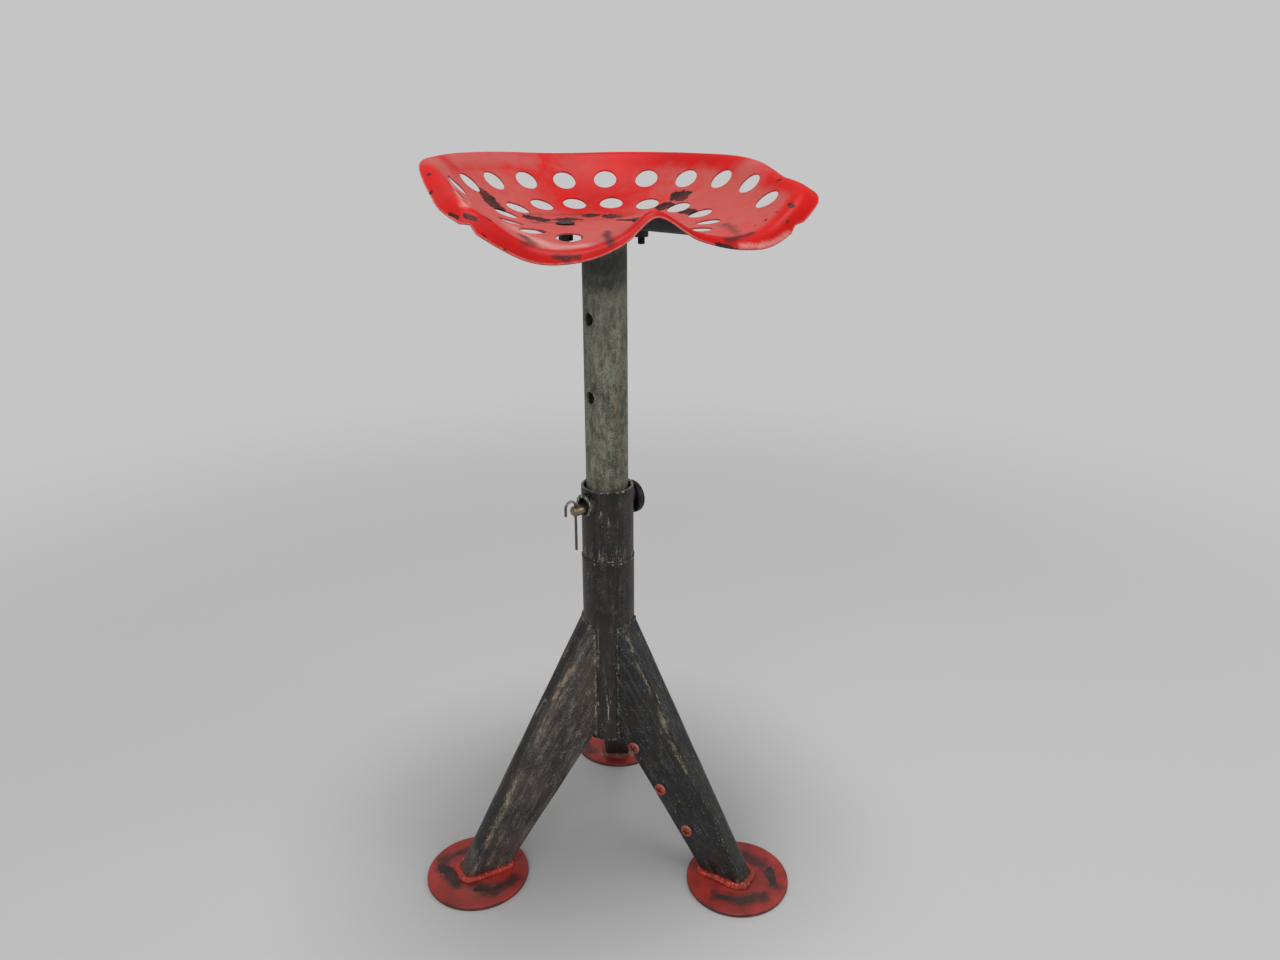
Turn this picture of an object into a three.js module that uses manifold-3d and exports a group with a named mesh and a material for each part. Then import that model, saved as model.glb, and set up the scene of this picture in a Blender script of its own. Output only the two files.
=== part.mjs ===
// Tractor seat stool: a pressed and perforated seat pan on a post, pinned at its height in a
// sleeve, which stands on a welded tripod of tapered box legs with round foot plates.
// Millimetres, +Z up, -Y is the front. Azimuths are degrees from +X, anticlockwise from above.
import * as THREE from "three";
import { mergeVertices } from "three/addons/utils/BufferGeometryUtils.js";
import Module from "manifold-3d";

// Fits that every piece shares
const CLEARANCE = 0.3; // between pieces that are welded, seated or clamped together
const OVERRUN = 6; // how far a cutting tool runs past the face that it cuts

// Foot plates
const FOOT_PLATE_DIAMETER = 124;
const FOOT_PLATE_THICKNESS = 5;
const FOOT_PLATE_EDGE_ROUND = 1.2;
const FOOT_CIRCLE_RADIUS = 185; // from the stool's axis to a plate's centre

// Tripod legs: tapered box sections that lean on the stand tube along a long seam. They are set
// by hand, so each stands a little differently on its plate: heelInset and toeInset run from
// the plate's edges to the leg's heel and toe, and sideways is the leg's shift off the axis.
const LEGS = {
  left: { azimuth: -151.8, heelInset: 27, toeInset: 41, sideways: -3.5 },
  right: { azimuth: -31.8, heelInset: 21.5, toeInset: 46.5, sideways: 0 },
  rear: { azimuth: 88.2, heelInset: 23, toeInset: 44, sideways: 0 },
};
const LEG_SEAM_LENGTH = 156; // the seam's height on the tube
const LEG_SEAM_SETUP = 3; // from the tube's bottom to the seam's lower end
const LEG_WIDTH_TOP = 37;
const LEG_WIDTH_FOOT = 33;
const LEG_WALL = 3;
const LEG_OUTER_CORNER = 11;
const LEG_INNER_CORNER = 4;

// Stand tube and the guide sleeve welded on top of it
const STAND_TUBE_GROUND_GAP = 155;
const STAND_TUBE_LENGTH = 242.5;
const STAND_TUBE_DIAMETER = 61.5;
const STAND_TUBE_WALL = 3.8;
const SLEEVE_LENGTH = 88.5;
const SLEEVE_DIAMETER = 60.3;
const SLEEVE_WALL = 3.2;
const SLEEVE_RIM_ROUND = 0.8;
const TUBE_WELD_GROOVE = 2.4; // chamfer on both tube ends, filled by the weld
const TUBE_WELD_CROWN = 0.6; // how far the weld stands out of the groove

// Lock pin, its bosses and its clip
const PIN_AZIMUTH = 41.8; // the pin points this way, from its tip to its head
const PIN_DIAMETER = 12;
const PIN_TIP_REACH = 51.5; // from the stool's axis to the pin's tip
const PIN_TIP_CHAMFER = 1.8;
const PIN_HEAD_DIAMETER = 39;
const PIN_HEAD_THICKNESS = 8.6;
const PIN_HEAD_EDGE_ROUND = 2.6;
const BOSS_SETDOWN = 18.5; // from the sleeve's rim to the bosses' centre
const BOSS_DIAMETER = 27;
const BOSS_BORE = 18.5;
const BOSS_FRONT_STANDOFF = 5.8; // how far the front boss stands out of the sleeve
const BOSS_REAR_STANDOFF = 2.3;
const CLIP_WIRE_DIAMETER = 3;
const CLIP_HOLE_DIAMETER = 4.2;
const CLIP_HOLE_SETBACK = 4.5; // from the pin's tip to the clip's hole
const CLIP_BEND_RADIUS = 7;
const CLIP_LEG_LENGTH = 54; // from the bend down to the leg's end
const CLIP_CROOK_LENGTH = 9;

// Seat post
const POST_DIAMETER = 48.3;
const POST_WALL = 3.2;
const POST_LENGTH = 385.5;
const POST_TAIL = 79; // from the post's lower end to the hole that is pinned now
const POST_HOLE_DIAMETER = 14;
const POST_HOLE_RISES = [128.6, 215.4]; // the free holes above the pinned one
const POST_WELD_RADIUS = 2.2;

// Seat bar under the pan, with its two bolts
const SEAT_YAW = 21.5;
const SEAT_BAR_LENGTH = 176;
const SEAT_BAR_WIDTH = 50;
const SEAT_BAR_THICKNESS = 5;
const SEAT_BAR_CORNER = 8;
const SEAT_BOLT_SPREAD = 84; // between the two bolts
const BOLT_DIAMETER = 8;
const BOLT_HOLE_DIAMETER = 9.4;
const BOLT_HEAD_DIAMETER = 20;
const BOLT_HEAD_HEIGHT = 4.6;
const BOLT_TAIL = 7.5; // thread that shows under the nut
const BOLT_NUT_WIDTH = 13; // across its flats
const BOLT_NUT_HEIGHT = 6.5;
const BOLT_WASHER_DIAMETER = 16;
const BOLT_WASHER_THICKNESS = 1.6;

// Seat pan
const PAN_SHEET = 2;
const PAN_LIP_BEND = 9; // how far inside the rim the lip's bend starts
const PAN_HOLE_DIAMETER = 26;
const PAN_NOTCH_TURNS = [128, 134.5]; // where notches part the left and right side lips from the front
const PAN_NOTCH_HALF_ANGLE = 2;
const PAN_NOTCH_DEPTH_SHARE = 0.4; // of the lip's width there
const PAN_HOLES_PER_SIDE = 6; // on each side of the middle hole, in either row
const UPPER_ROW = { halfWidth: 155, halfDepth: 166, forward: 31.5, stepDegrees: 17.6 };
const LOWER_ROW = { halfWidth: 103, halfDepth: 108, forward: 10, stepDegrees: 23.2 };
// Years of sitters have twisted the pan: one rear corner stands up and the other is down by this.
const PAN_TWIST = 2.6;
const PAN_TWIST_REACH = 150; // how far to the side and to the rear that corner is
const PAN_RIM_RADIUS = 200;
const PAN_WALL_HEIGHT = 50;
const PAN_LIP_WIDTH = 10;
// The rim at turns from the middle of the back (0 degrees) to the pommel (180 degrees), in shares
// of the three sizes above: its distance from the post's axis, its height over the pan's bottom,
// how far the lip reaches out past it and how far the lip drops; and, as a plain power, the
// steepness that the pan's wall rises with.
const RIM_SHARES = [
  { turn: 0, radius: 0.82, height: 1.35, reach: 0.6, drop: 1.2, rise: 3.52 },
  { turn: 30, radius: 0.82, height: 1.37, reach: 1.05, drop: 0.7, rise: 3.45 },
  { turn: 60, radius: 0.8325, height: 1.34, reach: 1.4, drop: 0.3, rise: 3.47 },
  { turn: 85, radius: 0.8525, height: 1.27, reach: 1.5, drop: 0.4, rise: 3.8 },
  { turn: 105, radius: 0.885, height: 1.02, reach: 1.8, drop: 0.95, rise: 4.16 },
  { turn: 125, radius: 1.0125, height: 0.75, reach: 1.8, drop: 1.25, rise: 4.65 },
  { turn: 140, radius: 0.94, height: 0.06, reach: 0.9, drop: 1.25, rise: 4.7 },
  { turn: 153, radius: 0.875, height: -0.05, reach: 0.85, drop: 1, rise: 4 },
  { turn: 166, radius: 0.7725, height: 0.14, reach: 0.75, drop: 0.9, rise: 2.95 },
  { turn: 180, radius: 0.705, height: 0.55, reach: 0.75, drop: 0.7, rise: 2.35 },
];
const RIM_SIZES = {
  radius: PAN_RIM_RADIUS, height: PAN_WALL_HEIGHT, reach: PAN_LIP_WIDTH, drop: PAN_LIP_WIDTH, rise: 1,
};
// Screws in a row along the right leg's front flank
const LEG_SCREW_NAMES = ["upper", "middle", "lower"];
const LEG_SCREW_HEAD_DIAMETER = 15;
const LEG_SCREW_HEAD_HEIGHT = 4.2;
const LEG_SCREW_SHANK_DIAMETER = 6;
const LEG_SCREW_SHANK_LENGTH = 12;
const LEG_SCREW_RECESS_WIDTH = 2.2;
const LEG_SCREW_RECESS_SPAN = 9;
const LEG_SCREW_RECESS_DEPTH = 2;
const LEG_SCREW_PITCH = 60;
const LEG_SCREW_FROM_THROAT = 14.5; // from the seam's lower end, along the inner edge
const LEG_SCREW_EDGE_DISTANCE = 10; // the upper screw's, from the inner edge
const LEG_SCREW_EDGE_GAIN = 2.5; // how much farther in each next screw is

// Fillet welds of the legs
const SEAM_WELD_RADIUS = 2.6;
const FOOT_WELD_RADIUS = 3.4;

// Facets round a full turn, by the size of what is turned
const TUBE_FACETS = 40;
const PLATE_FACETS = 48;
const PIN_FACETS = 20;
const HOLE_FACETS = 18;
const WELD_FACETS = 6;
const WIRE_FACETS = 4; // in each half of the wire's section
const CLIP_STEPS = 32; // along the clip's wire
const WIDE_CORNER_STEPS = 4; // facets in a quarter turn of a wide corner
const TIGHT_CORNER_STEPS = 2; // and in that of a tight one
const WELD_CORNER_STEPS = 3;
const BEND_STEPS = 8; // in the clip's half turn
const DOME_END = 75; // degrees up a domed head where its last facet starts
const SCREW_DOME = [12, 78]; // degrees up the screw's head where its first and last facets end
const FLANK_SHARES = [0, 0.25, 0.5, 0.75]; // stations of a seam weld up a flank
const STRAIGHT_UP = 1e-6; // squared length under which a direction counts as upright

// Heights that follow from the sizes above
const SEAM_LOW = STAND_TUBE_GROUND_GAP + LEG_SEAM_SETUP;
const SEAM_HIGH = SEAM_LOW + LEG_SEAM_LENGTH;
const STAND_TUBE_TOP = STAND_TUBE_GROUND_GAP + STAND_TUBE_LENGTH;
const SLEEVE_TOP = STAND_TUBE_TOP + SLEEVE_LENGTH;
const BOSS_HEIGHT = SLEEVE_TOP - BOSS_SETDOWN;
// The pin lies in the bottom of the bosses' bores, and the post hangs on the pin.
const PIN_HEIGHT = BOSS_HEIGHT - (BOSS_BORE - PIN_DIAMETER) / 2 + CLEARANCE;
const PINNED_HOLE_HEIGHT = PIN_HEIGHT - (POST_HOLE_DIAMETER - PIN_DIAMETER) / 2 + CLEARANCE;
const POST_BOTTOM = PINNED_HOLE_HEIGHT - POST_TAIL;
const POST_TOP = POST_BOTTOM + POST_LENGTH;
const PAN_UNDERSIDE = POST_TOP + SEAT_BAR_THICKNESS + CLEARANCE;
const PAN_BOTTOM = PAN_UNDERSIDE + PAN_SHEET;

const wasm = await Module();
wasm.setup();

// Finishes of the real pieces
const redPaint = new THREE.MeshStandardMaterial({ color: 0xc21a1c, roughness: 0.45, metalness: 0.1 });
const darkSteel = new THREE.MeshStandardMaterial({ color: 0x2b2928, roughness: 0.55, metalness: 0.5 });
const weldSteel = new THREE.MeshStandardMaterial({ color: 0x3a3634, roughness: 0.6, metalness: 0.6 });
const galvanised = new THREE.MeshStandardMaterial({ color: 0x5f6259, roughness: 0.5, metalness: 0.7 });
const brass = new THREE.MeshStandardMaterial({ color: 0xb08a4e, roughness: 0.35, metalness: 0.9 });
const blackSteel = new THREE.MeshStandardMaterial({ color: 0x1a1a1b, roughness: 0.5, metalness: 0.7 });
const orangePaint = new THREE.MeshStandardMaterial({ color: 0xc9502c, roughness: 0.5, metalness: 0.1 });

/** A closed geometry as a solid that can be cut and joined. */
function solidOf(geometry) {
  const plain = geometry.clone();
  plain.deleteAttribute("normal");
  plain.deleteAttribute("uv");
  const merged = mergeVertices(plain);
  return new wasm.Manifold(
    new wasm.Mesh({
      numProp: 3,
      vertProperties: new Float32Array(merged.attributes.position.array),
      triVerts: new Uint32Array(merged.index.array),
    }),
  );
}

/** A solid back as a geometry with flat faces. */
function geometryOf(solid) {
  const mesh = solid.getMesh();
  const indexed = new THREE.BufferGeometry();
  indexed.setAttribute("position", new THREE.BufferAttribute(mesh.vertProperties, mesh.numProp));
  indexed.setIndex(new THREE.BufferAttribute(mesh.triVerts, 1));
  const geometry = indexed.toNonIndexed();
  geometry.computeVertexNormals();
  return geometry;
}

/** The geometry less each of the tools. */
function cut(geometry, tools) {
  return geometryOf(tools.reduce((solid, tool) => solid.subtract(solidOf(tool)), solidOf(geometry)));
}

function mesh(name, geometry, material) {
  const made = new THREE.Mesh(geometry, material);
  made.name = name;
  return made;
}

/** A solid of revolution about Z from a closed profile of [radius, height] pairs. */
function turned(profile, facets) {
  const points = profile.map(([radius, height]) => new THREE.Vector2(radius, height));
  points.push(points[0].clone());
  return new THREE.LatheGeometry(points, facets).rotateX(Math.PI / 2);
}

/** A cylinder along Z between two heights. */
function rod(diameter, low, high, facets) {
  const geometry = new THREE.CylinderGeometry(diameter / 2, diameter / 2, high - low, facets);
  return geometry.rotateX(Math.PI / 2).translate(0, 0, (low + high) / 2);
}

/** The same cylinder laid along X. */
function crossRod(diameter, low, high, facets) {
  return rod(diameter, low, high, facets).rotateY(Math.PI / 2);
}

/** Points of an arc from one angle to another, in degrees. */
function arc(centreX, centreY, radius, from, to, steps) {
  return Array.from({ length: steps + 1 }, (_, step) => {
    const angle = THREE.MathUtils.degToRad(THREE.MathUtils.lerp(from, to, step / steps));
    return [centreX + radius * Math.cos(angle), centreY + radius * Math.sin(angle)];
  });
}

/** Joins rings of equally many points into one closed skin; a ring that closes the loop needs no caps. */
function skin(rings, loop) {
  const count = rings[0].length;
  const positions = rings.flat().flatMap((point) => [point.x, point.y, point.z]);
  const faces = [];
  const bands = loop ? rings.length : rings.length - 1;
  for (let band = 0; band < bands; band += 1) {
    const here = band * count;
    const next = ((band + 1) % rings.length) * count;
    for (let side = 0; side < count; side += 1) {
      const turn = (side + 1) % count;
      faces.push(here + side, next + turn, here + turn, here + side, next + side, next + turn);
    }
  }
  if (!loop) {
    const last = (rings.length - 1) * count;
    for (let side = 1; side < count - 1; side += 1) {
      faces.push(0, side, side + 1, last, last + side + 1, last + side);
    }
  }
  const geometry = new THREE.BufferGeometry();
  geometry.setAttribute("position", new THREE.Float32BufferAttribute(positions, 3));
  geometry.setIndex(faces);
  return geometry;
}

/** A weld bead: a round section carried along points, open with flat ends or closed on itself. */
function bead(points, radius, loop) {
  const curve = new THREE.CatmullRomCurve3(points, loop);
  const last = loop ? points.length : points.length - 1;
  const rings = [];
  const rise = new THREE.Vector3(0, 0, 1);
  for (let step = 0; step < points.length; step += 1) {
    const forward = curve.getTangent(step / last);
    const side = new THREE.Vector3().crossVectors(forward, rise);
    if (side.lengthSq() < STRAIGHT_UP) side.copy(points[step]).setZ(0);
    side.normalize();
    const up = new THREE.Vector3().crossVectors(side, forward).normalize();
    rings.push(
      Array.from({ length: WELD_FACETS }, (_, facet) => {
        const angle = (2 * Math.PI * facet) / WELD_FACETS;
        return points[step]
          .clone()
          .addScaledVector(side, radius * Math.cos(angle))
          .addScaledVector(up, radius * Math.sin(angle));
      }),
    );
  }
  return skin(rings, loop);
}

// Stand tube and guide sleeve

/** A tube's closed profile, with a chamfer outside its top end and, if given, its bottom end. */
function tubeProfile(diameter, wall, low, high, chamferHigh, chamferLow) {
  const outer = diameter / 2;
  const inner = outer - wall;
  const foot = chamferLow ? [[outer - chamferLow, low], [outer, low + chamferLow]] : [[outer, low]];
  return [[inner, low], ...foot, [outer, high - chamferHigh], [outer - chamferHigh, high], [inner, high]];
}

function standTube() {
  const profile = tubeProfile(
    STAND_TUBE_DIAMETER, STAND_TUBE_WALL, STAND_TUBE_GROUND_GAP, STAND_TUBE_TOP, TUBE_WELD_GROOVE,
  );
  return mesh("stand_tube", turned(profile, TUBE_FACETS), darkSteel);
}

function guideSleeve() {
  const profile = tubeProfile(
    SLEEVE_DIAMETER, SLEEVE_WALL, STAND_TUBE_TOP, SLEEVE_TOP, SLEEVE_RIM_ROUND, TUBE_WELD_GROOVE,
  );
  const reach = SLEEVE_DIAMETER / 2 + OVERRUN;
  const bore = crossRod(BOSS_BORE, -reach, reach, PIN_FACETS).translate(0, 0, BOSS_HEIGHT);
  return mesh("guide_sleeve", cut(turned(profile, TUBE_FACETS), [bore]), darkSteel);
}

/** The ring of weld that fills the groove between the two tubes. */
function sleeveWeld() {
  const lower = STAND_TUBE_DIAMETER / 2;
  const upper = SLEEVE_DIAMETER / 2;
  const apex = Math.min(lower, upper) - TUBE_WELD_GROOVE + 2 * CLEARANCE;
  const crown = Math.max(lower, upper) + TUBE_WELD_CROWN;
  const profile = [
    [apex, STAND_TUBE_TOP],
    [lower + CLEARANCE, STAND_TUBE_TOP - TUBE_WELD_GROOVE],
    [crown, STAND_TUBE_TOP - TUBE_WELD_GROOVE / 2],
    [crown, STAND_TUBE_TOP + TUBE_WELD_GROOVE / 2],
    [upper + CLEARANCE, STAND_TUBE_TOP + TUBE_WELD_GROOVE],
  ];
  return mesh("sleeve_weld", turned(profile, TUBE_FACETS), weldSteel);
}

// Legs, foot plates and their welds, each made for a leg that points along +X

const seamRadius = STAND_TUBE_DIAMETER / 2;
const footTop = FOOT_PLATE_THICKNESS + CLEARANCE;

/** A leg's outer and inner edges in its upright plane, as [radius, height], and its axis between. */
function legPlan({ heelInset, toeInset }) {
  const heel = FOOT_CIRCLE_RADIUS - FOOT_PLATE_DIAMETER / 2 + heelInset;
  const toe = FOOT_CIRCLE_RADIUS + FOOT_PLATE_DIAMETER / 2 - toeInset;
  const edge = (seamEnd, footEnd) => {
    const top = new THREE.Vector2(seamRadius, seamEnd);
    const foot = new THREE.Vector2(footEnd, FOOT_PLATE_THICKNESS);
    return { top, foot, run: foot.clone().sub(top), direction: foot.clone().sub(top).normalize() };
  };
  const outer = edge(SEAM_HIGH, toe);
  const inner = edge(SEAM_LOW, heel);
  const start = outer.top.clone().add(inner.top).divideScalar(2);
  const end = outer.foot.clone().add(inner.foot).divideScalar(2);
  const length = start.distanceTo(end);
  const along = end.clone().sub(start).normalize();
  const outward = new THREE.Vector2(-along.y, along.x);
  return { outer, inner, start, length, along, outward, footLength: toe - heel };
}

/** How far along the leg's axis a place in its upright plane is. */
function alongLeg(plan, place) {
  return place.clone().sub(plan.start).dot(plan.along);
}

function legHalfWidth(plan, along) {
  return THREE.MathUtils.lerp(LEG_WIDTH_TOP, LEG_WIDTH_FOOT, along / plan.length) / 2;
}

/** How far out of the leg's axis one of its edges is, at a distance along the axis. */
function edgeOffset(plan, edge, along) {
  const from = edge.top.clone().sub(plan.start).addScaledVector(plan.along, -along);
  const across = plan.outward.x * edge.run.y - plan.outward.y * edge.run.x;
  return (from.x * edge.run.y - from.y * edge.run.x) / across;
}

/** The leg's section at a distance along its axis, a wall's depth inside its outside. */
function legSection(plan, along, inset) {
  const outer = edgeOffset(plan, plan.outer, along) - inset;
  const inner = edgeOffset(plan, plan.inner, along) + inset;
  const half = legHalfWidth(plan, along) - inset;
  const outerRound = Math.max(LEG_OUTER_CORNER - inset, inset / 2);
  const innerRound = Math.max(LEG_INNER_CORNER - inset, inset / 2);
  const outline = [
    ...arc(outer - outerRound, half - outerRound, outerRound, 0, 90, WIDE_CORNER_STEPS),
    ...arc(inner + innerRound, half - innerRound, innerRound, 90, 180, TIGHT_CORNER_STEPS),
    ...arc(inner + innerRound, innerRound - half, innerRound, 180, 270, TIGHT_CORNER_STEPS),
    ...arc(outer - outerRound, outerRound - half, outerRound, 270, 360, WIDE_CORNER_STEPS),
  ];
  const centre = plan.start.clone().addScaledVector(plan.along, along);
  return outline.map(([depth, side]) => {
    const place = centre.clone().addScaledVector(plan.outward, depth);
    return new THREE.Vector3(place.x, side, place.y);
  });
}

/** The leg's tapered bar, run on past both its ends to be trimmed there. */
function legBar(plan, inset) {
  const high = legSection(plan, -LEG_SEAM_LENGTH, inset);
  const low = legSection(plan, plan.length + plan.footLength / 2, inset);
  return skin([high, low], false);
}

/** The space that a leg may fill: outside the stand tube and above its foot plate. */
function legSpace(sideways) {
  const reach = FOOT_CIRCLE_RADIUS + FOOT_PLATE_DIAMETER;
  const height = SEAM_HIGH + FOOT_PLATE_DIAMETER;
  const room = new THREE.BoxGeometry(reach, reach, height).translate(reach / 2, 0, footTop + height / 2);
  const tube = rod(STAND_TUBE_DIAMETER + 2 * CLEARANCE, 0, footTop + height + OVERRUN, TUBE_FACETS);
  return solidOf(room).subtract(solidOf(tube.translate(0, -sideways, 0)));
}

/** Centres of the right leg's screws on the flank that faces the front. */
function legScrewPlaces(plan) {
  const { direction, top } = plan.inner;
  const inward = new THREE.Vector2(-direction.y, direction.x);
  return LEG_SCREW_NAMES.map((name, index) => {
    const run = LEG_SCREW_FROM_THROAT + index * LEG_SCREW_PITCH;
    const inset = LEG_SCREW_EDGE_DISTANCE + index * LEG_SCREW_EDGE_GAIN;
    const place = top.clone().addScaledVector(direction, run).addScaledVector(inward, inset);
    return { name, place, side: -legHalfWidth(plan, alongLeg(plan, place)) };
  });
}

function leg(name, plan) {
  const bar = solidOf(legBar(plan, 0)).intersect(legSpace(LEGS[name].sideways));
  let body = bar.subtract(solidOf(legBar(plan, LEG_WALL)));
  if (name === "right") {
    const bore = LEG_SCREW_SHANK_DIAMETER + 2 * CLEARANCE;
    legScrewPlaces(plan).forEach(({ place, side }) => {
      const tool = rod(bore, -OVERRUN, OVERRUN, HOLE_FACETS).rotateX(Math.PI / 2);
      body = body.subtract(solidOf(tool.translate(place.x, side, place.y)));
    });
  }
  return mesh(`leg_${name}`, geometryOf(body), darkSteel);
}

/** The fillet weld up one flank of a leg, over its crown and down the other flank. */
function seamWeld(name, plan) {
  const offset = SEAM_WELD_RADIUS + CLEARANCE;
  const ring = seamRadius + offset;
  const { direction, top } = plan.outer;
  const half = legHalfWidth(plan, alongLeg(plan, top));
  const { sideways } = LEGS[name];
  // The bead's centre is an offset outside the tube and outside the leg, which runs down and out.
  const place = (side, lift) => {
    const x = Math.sqrt(ring ** 2 - (side + sideways) ** 2);
    return new THREE.Vector3(x, side, top.y + (lift - (top.x - x) * direction.y) / direction.x);
  };
  const low = SEAM_LOW + SEAM_WELD_RADIUS;
  const flank = (corner) =>
    FLANK_SHARES.map((share) => corner.clone().setZ(THREE.MathUtils.lerp(low, corner.z, share)));
  const round = LEG_OUTER_CORNER;
  const over = arc(half - round, -round, round + offset, 0, 90, WIDE_CORNER_STEPS);
  const left = over.map(([side, lift]) => place(side, lift));
  const right = over.map(([side, lift]) => place(-side, lift));
  const rising = [...flank(left[0]), ...left, place(0, offset)];
  const points = [...rising, ...right.slice().reverse(), ...flank(right[0]).reverse()];
  return mesh(`leg_weld_${name}`, bead(points, SEAM_WELD_RADIUS, false), weldSteel);
}

/** A foot plate: a round disc with a softened edge. */
function footPlate(name) {
  const radius = FOOT_PLATE_DIAMETER / 2;
  const round = FOOT_PLATE_EDGE_ROUND;
  const profile = [
    [0, 0],
    [radius - round, 0],
    [radius, round],
    [radius, FOOT_PLATE_THICKNESS - round],
    [radius - round, FOOT_PLATE_THICKNESS],
    [0, FOOT_PLATE_THICKNESS],
  ];
  const points = profile.map(([x, y]) => new THREE.Vector2(x, y));
  const geometry = new THREE.LatheGeometry(points, PLATE_FACETS).rotateX(Math.PI / 2);
  return mesh(`foot_${name}`, geometry.translate(FOOT_CIRCLE_RADIUS, 0, 0), redPaint);
}

/** The bead round a leg's foot, on its plate. */
function footWeld(name, plan) {
  const offset = FOOT_WELD_RADIUS + CLEARANCE;
  const half = LEG_WIDTH_FOOT / 2 + offset;
  // Where an edge passes the bead's height, and how far outside it the bead's centre keeps clear
  const lean = ({ foot, direction }) => foot.x + (direction.x / direction.y) * offset;
  const clear = ({ direction }) => offset / Math.abs(direction.y);
  const toe = lean(plan.outer) + clear(plan.outer);
  const heel = lean(plan.inner) - clear(plan.inner);
  const outerRound = LEG_OUTER_CORNER + offset;
  const innerRound = LEG_INNER_CORNER + offset;
  const outline = [
    ...arc(toe - outerRound, half - outerRound, outerRound, 0, 90, WIDE_CORNER_STEPS),
    ...arc(heel + innerRound, half - innerRound, innerRound, 90, 180, WELD_CORNER_STEPS),
    ...arc(heel + innerRound, innerRound - half, innerRound, 180, 270, WELD_CORNER_STEPS),
    ...arc(toe - outerRound, outerRound - half, outerRound, 270, 360, WIDE_CORNER_STEPS),
  ];
  const points = outline.map(([x, y]) => new THREE.Vector3(x, y, FOOT_PLATE_THICKNESS + offset));
  return mesh(`foot_weld_${name}`, bead(points, FOOT_WELD_RADIUS, true), redPaint);
}

/** A cross-recessed screw whose head rests on the flank; its axis is the flank's normal. */
function legScrew({ name, place, side }) {
  const radius = LEG_SCREW_HEAD_DIAMETER / 2;
  const shank = LEG_SCREW_SHANK_DIAMETER / 2;
  const profile = [
    [0, -LEG_SCREW_SHANK_LENGTH],
    [shank, -LEG_SCREW_SHANK_LENGTH],
    [shank, CLEARANCE],
    [radius, CLEARANCE],
    ...arc(0, 0, 1, ...SCREW_DOME, TIGHT_CORNER_STEPS).map(([across, up]) => [
      radius * across,
      CLEARANCE + LEG_SCREW_HEAD_HEIGHT * up,
    ]),
    [0, CLEARANCE + LEG_SCREW_HEAD_HEIGHT],
  ];
  const points = profile.map(([x, y]) => new THREE.Vector2(x, y));
  const body = new THREE.LatheGeometry(points, PIN_FACETS).rotateX(Math.PI / 2);
  const deep = LEG_SCREW_RECESS_DEPTH + OVERRUN;
  const slotHeight = CLEARANCE + LEG_SCREW_HEAD_HEIGHT - LEG_SCREW_RECESS_DEPTH + deep / 2;
  const slot = new THREE.BoxGeometry(LEG_SCREW_RECESS_SPAN, LEG_SCREW_RECESS_WIDTH, deep);
  slot.translate(0, 0, slotHeight);
  const recessed = cut(body, [slot, slot.clone().rotateZ(Math.PI / 2)]);
  const screw = mesh(`leg_screw_${name}`, recessed, orangePaint);
  screw.position.set(place.x, side, place.y);
  screw.rotation.x = Math.PI / 2;
  return screw;
}

function tripodArm(name) {
  const plan = legPlan(LEGS[name]);
  const leaning = new THREE.Group();
  leaning.position.y = LEGS[name].sideways;
  leaning.add(leg(name, plan), seamWeld(name, plan), footWeld(name, plan));
  if (name === "right") leaning.add(...legScrewPlaces(plan).map(legScrew));
  const arm = new THREE.Group();
  arm.rotation.z = THREE.MathUtils.degToRad(LEGS[name].azimuth);
  arm.add(leaning, footPlate(name));
  return arm;
}

// Lock pin, bosses and clip, all along X in the pin's own frame

/** A ring round the pin, hollowed on its inner side to lie against the sleeve. */
function boss(name, standoff, direction) {
  const inner = SLEEVE_DIAMETER / 4;
  const outer = SLEEVE_DIAMETER / 2 + standoff;
  const ring = cut(rod(BOSS_DIAMETER, inner, outer, PIN_FACETS * 2), [
    rod(BOSS_BORE, inner - OVERRUN, outer + OVERRUN, PIN_FACETS),
  ]);
  ring.rotateY((direction * Math.PI) / 2).translate(0, 0, BOSS_HEIGHT);
  const reach = BOSS_HEIGHT + BOSS_DIAMETER;
  const sleeve = rod(SLEEVE_DIAMETER + 2 * CLEARANCE, 0, reach, TUBE_FACETS);
  return mesh(`pin_boss_${name}`, cut(ring, [sleeve]), darkSteel);
}

const headInner = SLEEVE_DIAMETER / 2 + BOSS_REAR_STANDOFF + CLEARANCE;
const headOuter = headInner + PIN_HEAD_THICKNESS;
const clipHoleReach = PIN_TIP_REACH - CLIP_HOLE_SETBACK;

function lockPin() {
  const radius = PIN_DIAMETER / 2;
  const profile = [
    [0, -PIN_TIP_REACH],
    [radius - PIN_TIP_CHAMFER, -PIN_TIP_REACH],
    [radius, PIN_TIP_CHAMFER - PIN_TIP_REACH],
    [radius, headOuter],
    [0, headOuter],
  ];
  const points = profile.map(([x, y]) => new THREE.Vector2(x, y));
  const body = new THREE.LatheGeometry(points, PIN_FACETS).rotateX(Math.PI / 2).rotateY(Math.PI / 2);
  const hole = rod(CLIP_HOLE_DIAMETER, -PIN_DIAMETER, PIN_DIAMETER, HOLE_FACETS);
  hole.translate(-clipHoleReach, 0, 0);
  return mesh("lock_pin", cut(body, [hole]).translate(0, 0, PIN_HEIGHT), brass);
}

function lockPinHead() {
  const outer = PIN_HEAD_DIAMETER / 2;
  const inner = PIN_DIAMETER / 2 + CLEARANCE;
  const round = PIN_HEAD_EDGE_ROUND;
  const profile = [
    [inner, headInner],
    ...arc(outer - round, headInner + round, round, -90, 0, TIGHT_CORNER_STEPS),
    ...arc(outer - round, headOuter - round, round, 0, 90, TIGHT_CORNER_STEPS),
    [inner, headOuter],
  ];
  const geometry = turned(profile, TUBE_FACETS).rotateY(Math.PI / 2);
  return mesh("lock_pin_head", geometry.translate(0, 0, PIN_HEIGHT), blackSteel);
}

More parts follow.
